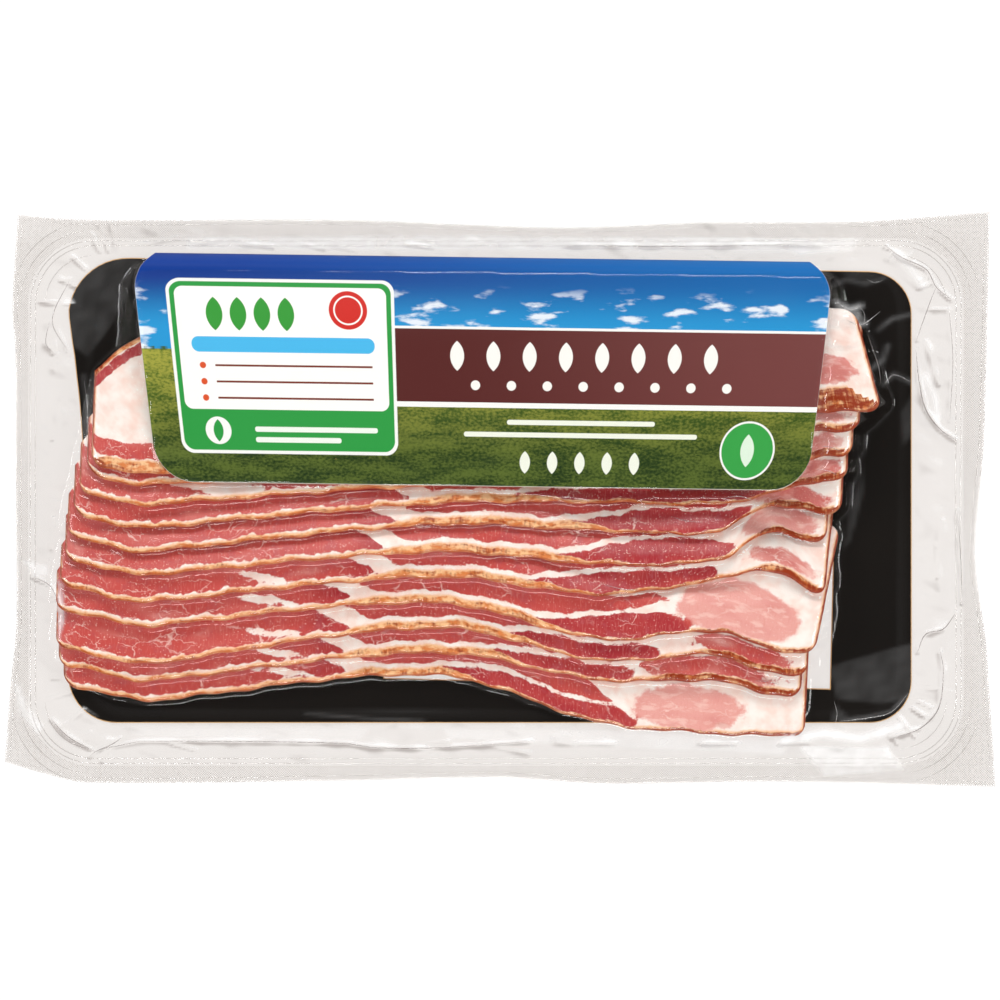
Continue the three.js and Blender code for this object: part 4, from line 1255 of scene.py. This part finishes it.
def studioSweep():                   # white translucent acrylic, lit from below like a light table
    material, tree = startMaterial("studioSweep")
    place = addNode(tree, "ShaderNodeTexCoord", None, None, "Object")
    tooth = addNode(tree, "ShaderNodeTexNoise", None, {"Vector": place, "Scale": 60.0}, "Fac")
    colour = paintOver(tree, "#8f8f8f", ("#939393", tooth))
    skin = addNode(tree, "ShaderNodeBsdfDiffuse", None, {"Color": colour})
    glow = addNode(tree, "ShaderNodeEmission", None, {"Color": hexColour("#ffffff"), "Strength": 0.75})
    lit = addNode(tree, "ShaderNodeAddShader", None, {0: skin, 1: glow})
    addNode(tree, "ShaderNodeOutputMaterial", None, {"Surface": lit})
    return material


# Making the pack

clearFilm = laminatedFilm("laminatedFilm", "#fefdfc", 0.028)
baseFilm = laminatedFilm("baseFilm", "#f3f0ee", 0.02)
pressedSeal = laminatedFilm("pressedSeal", "#eceae8", 0.06)
sealLine = laminatedFilm("sealLine", "#f3f2f1", 0.12)
foldedFilm = laminatedFilm("foldedFilm", "#d2cecd", 0.1)
# the last value paints a constant white glint on the crinkles
glintPaintedFold = laminatedFilm("glintPaintedFold", "#f0eeed", 0.12, 0.22)
belly = smokedBelly()
card, core, printed = coatedBlackCard(), cutCard(), printedCard()

pieces = []
for spec in slices:
    pieces.append((makeSlice(spec, belly), "bacon"))
print("slices made")
pieces.append((makeBoard(card, core), "board_card"))
pieces.append((makeLabel(printed), "label_card"))
print("board and label made")
pieces.append((makeFilm(clearFilm, baseFilm), "clear_film"))
pieces.append((makeKnurl(pressedSeal), "clear_film"))
pieces.append((makeLines("seal_lines", sealPaths(), sealLine), "clear_film"))
pieces.append((makeLines("film_creases", smoothPaths(creases), foldedFilm), "clear_film"))
pieces.append((makeLines("film_crinkles", smoothPaths(crinkles), glintPaintedFold), "clear_film"))
print("film and seal made")

for piece, slotName in pieces:
    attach(piece, "root")
    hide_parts("sealed_pack")


# Floor, light and camera

floorMesh = bpy.data.meshes.new("floor")
floorMesh.from_pydata([(-3, -3, 0), (3, -3, 0), (3, 3, 0), (-3, 3, 0)], [], [(0, 1, 2, 3)])
floorMesh.materials.append(studioSweep())
floor = addObject("floor", floorMesh)

softboxes = [            # place in metres, size in metres and power in watts
    ("backBox", (0.0, 1.5, 0.85), (1.2, 0.45), 19.0),
    ("frontBox", (0.1, -1.6, 0.8), (1.2, 0.4), 17.5),
    ("leftBox", (-1.5, 0.1, 0.85), (0.9, 0.35), 12.0),
    ("rightBox", (1.5, 0.0, 0.85), (0.9, 0.35), 12.0),
]
for name, place, size, power in softboxes:
    light = bpy.data.lights.new(name, "AREA")
    light.shape, light.size, light.size_y, light.energy = "RECTANGLE", size[0], size[1], power
    lamp = addObject(name, light)
    lamp.location = place
    towards = -lamp.location
    lamp.rotation_euler = towards.to_track_quat("-Z", "Y").to_euler()

world = bpy.data.worlds.new("studio")    # dim overhead, so that the flat film mirrors little light
world.use_nodes = True
sky = world.node_tree
sky.nodes.clear()
direction = addNode(sky, "ShaderNodeTexCoord", None, None, "Generated")
upward = addNode(sky, "ShaderNodeSeparateXYZ", None, {0: direction}, "Z")
strength = addNode(sky, "ShaderNodeMapRange", None, {
    "Value": upward, "From Min": 0.2, "From Max": 0.95, "To Min": 0.6, "To Max": 0.08})
glow = addNode(sky, "ShaderNodeBackground", None, {"Color": hexColour("#ffffff"), "Strength": strength})
addNode(sky, "ShaderNodeOutputWorld", None, {"Surface": glow})
scene.world = world

cameraSize = {"height": 1.3, "frame": 310.0, "sensor": 36.0}
lens = bpy.data.cameras.new("camera")
lens.sensor_width = cameraSize["sensor"]
lens.lens = cameraSize["sensor"] * cameraSize["height"] / (cameraSize["frame"] * mm)
camera = addObject("camera", lens)
camera.location = (-0.0001, -0.0002, cameraSize["height"])
scene.camera = camera
print("stage, light and camera made")
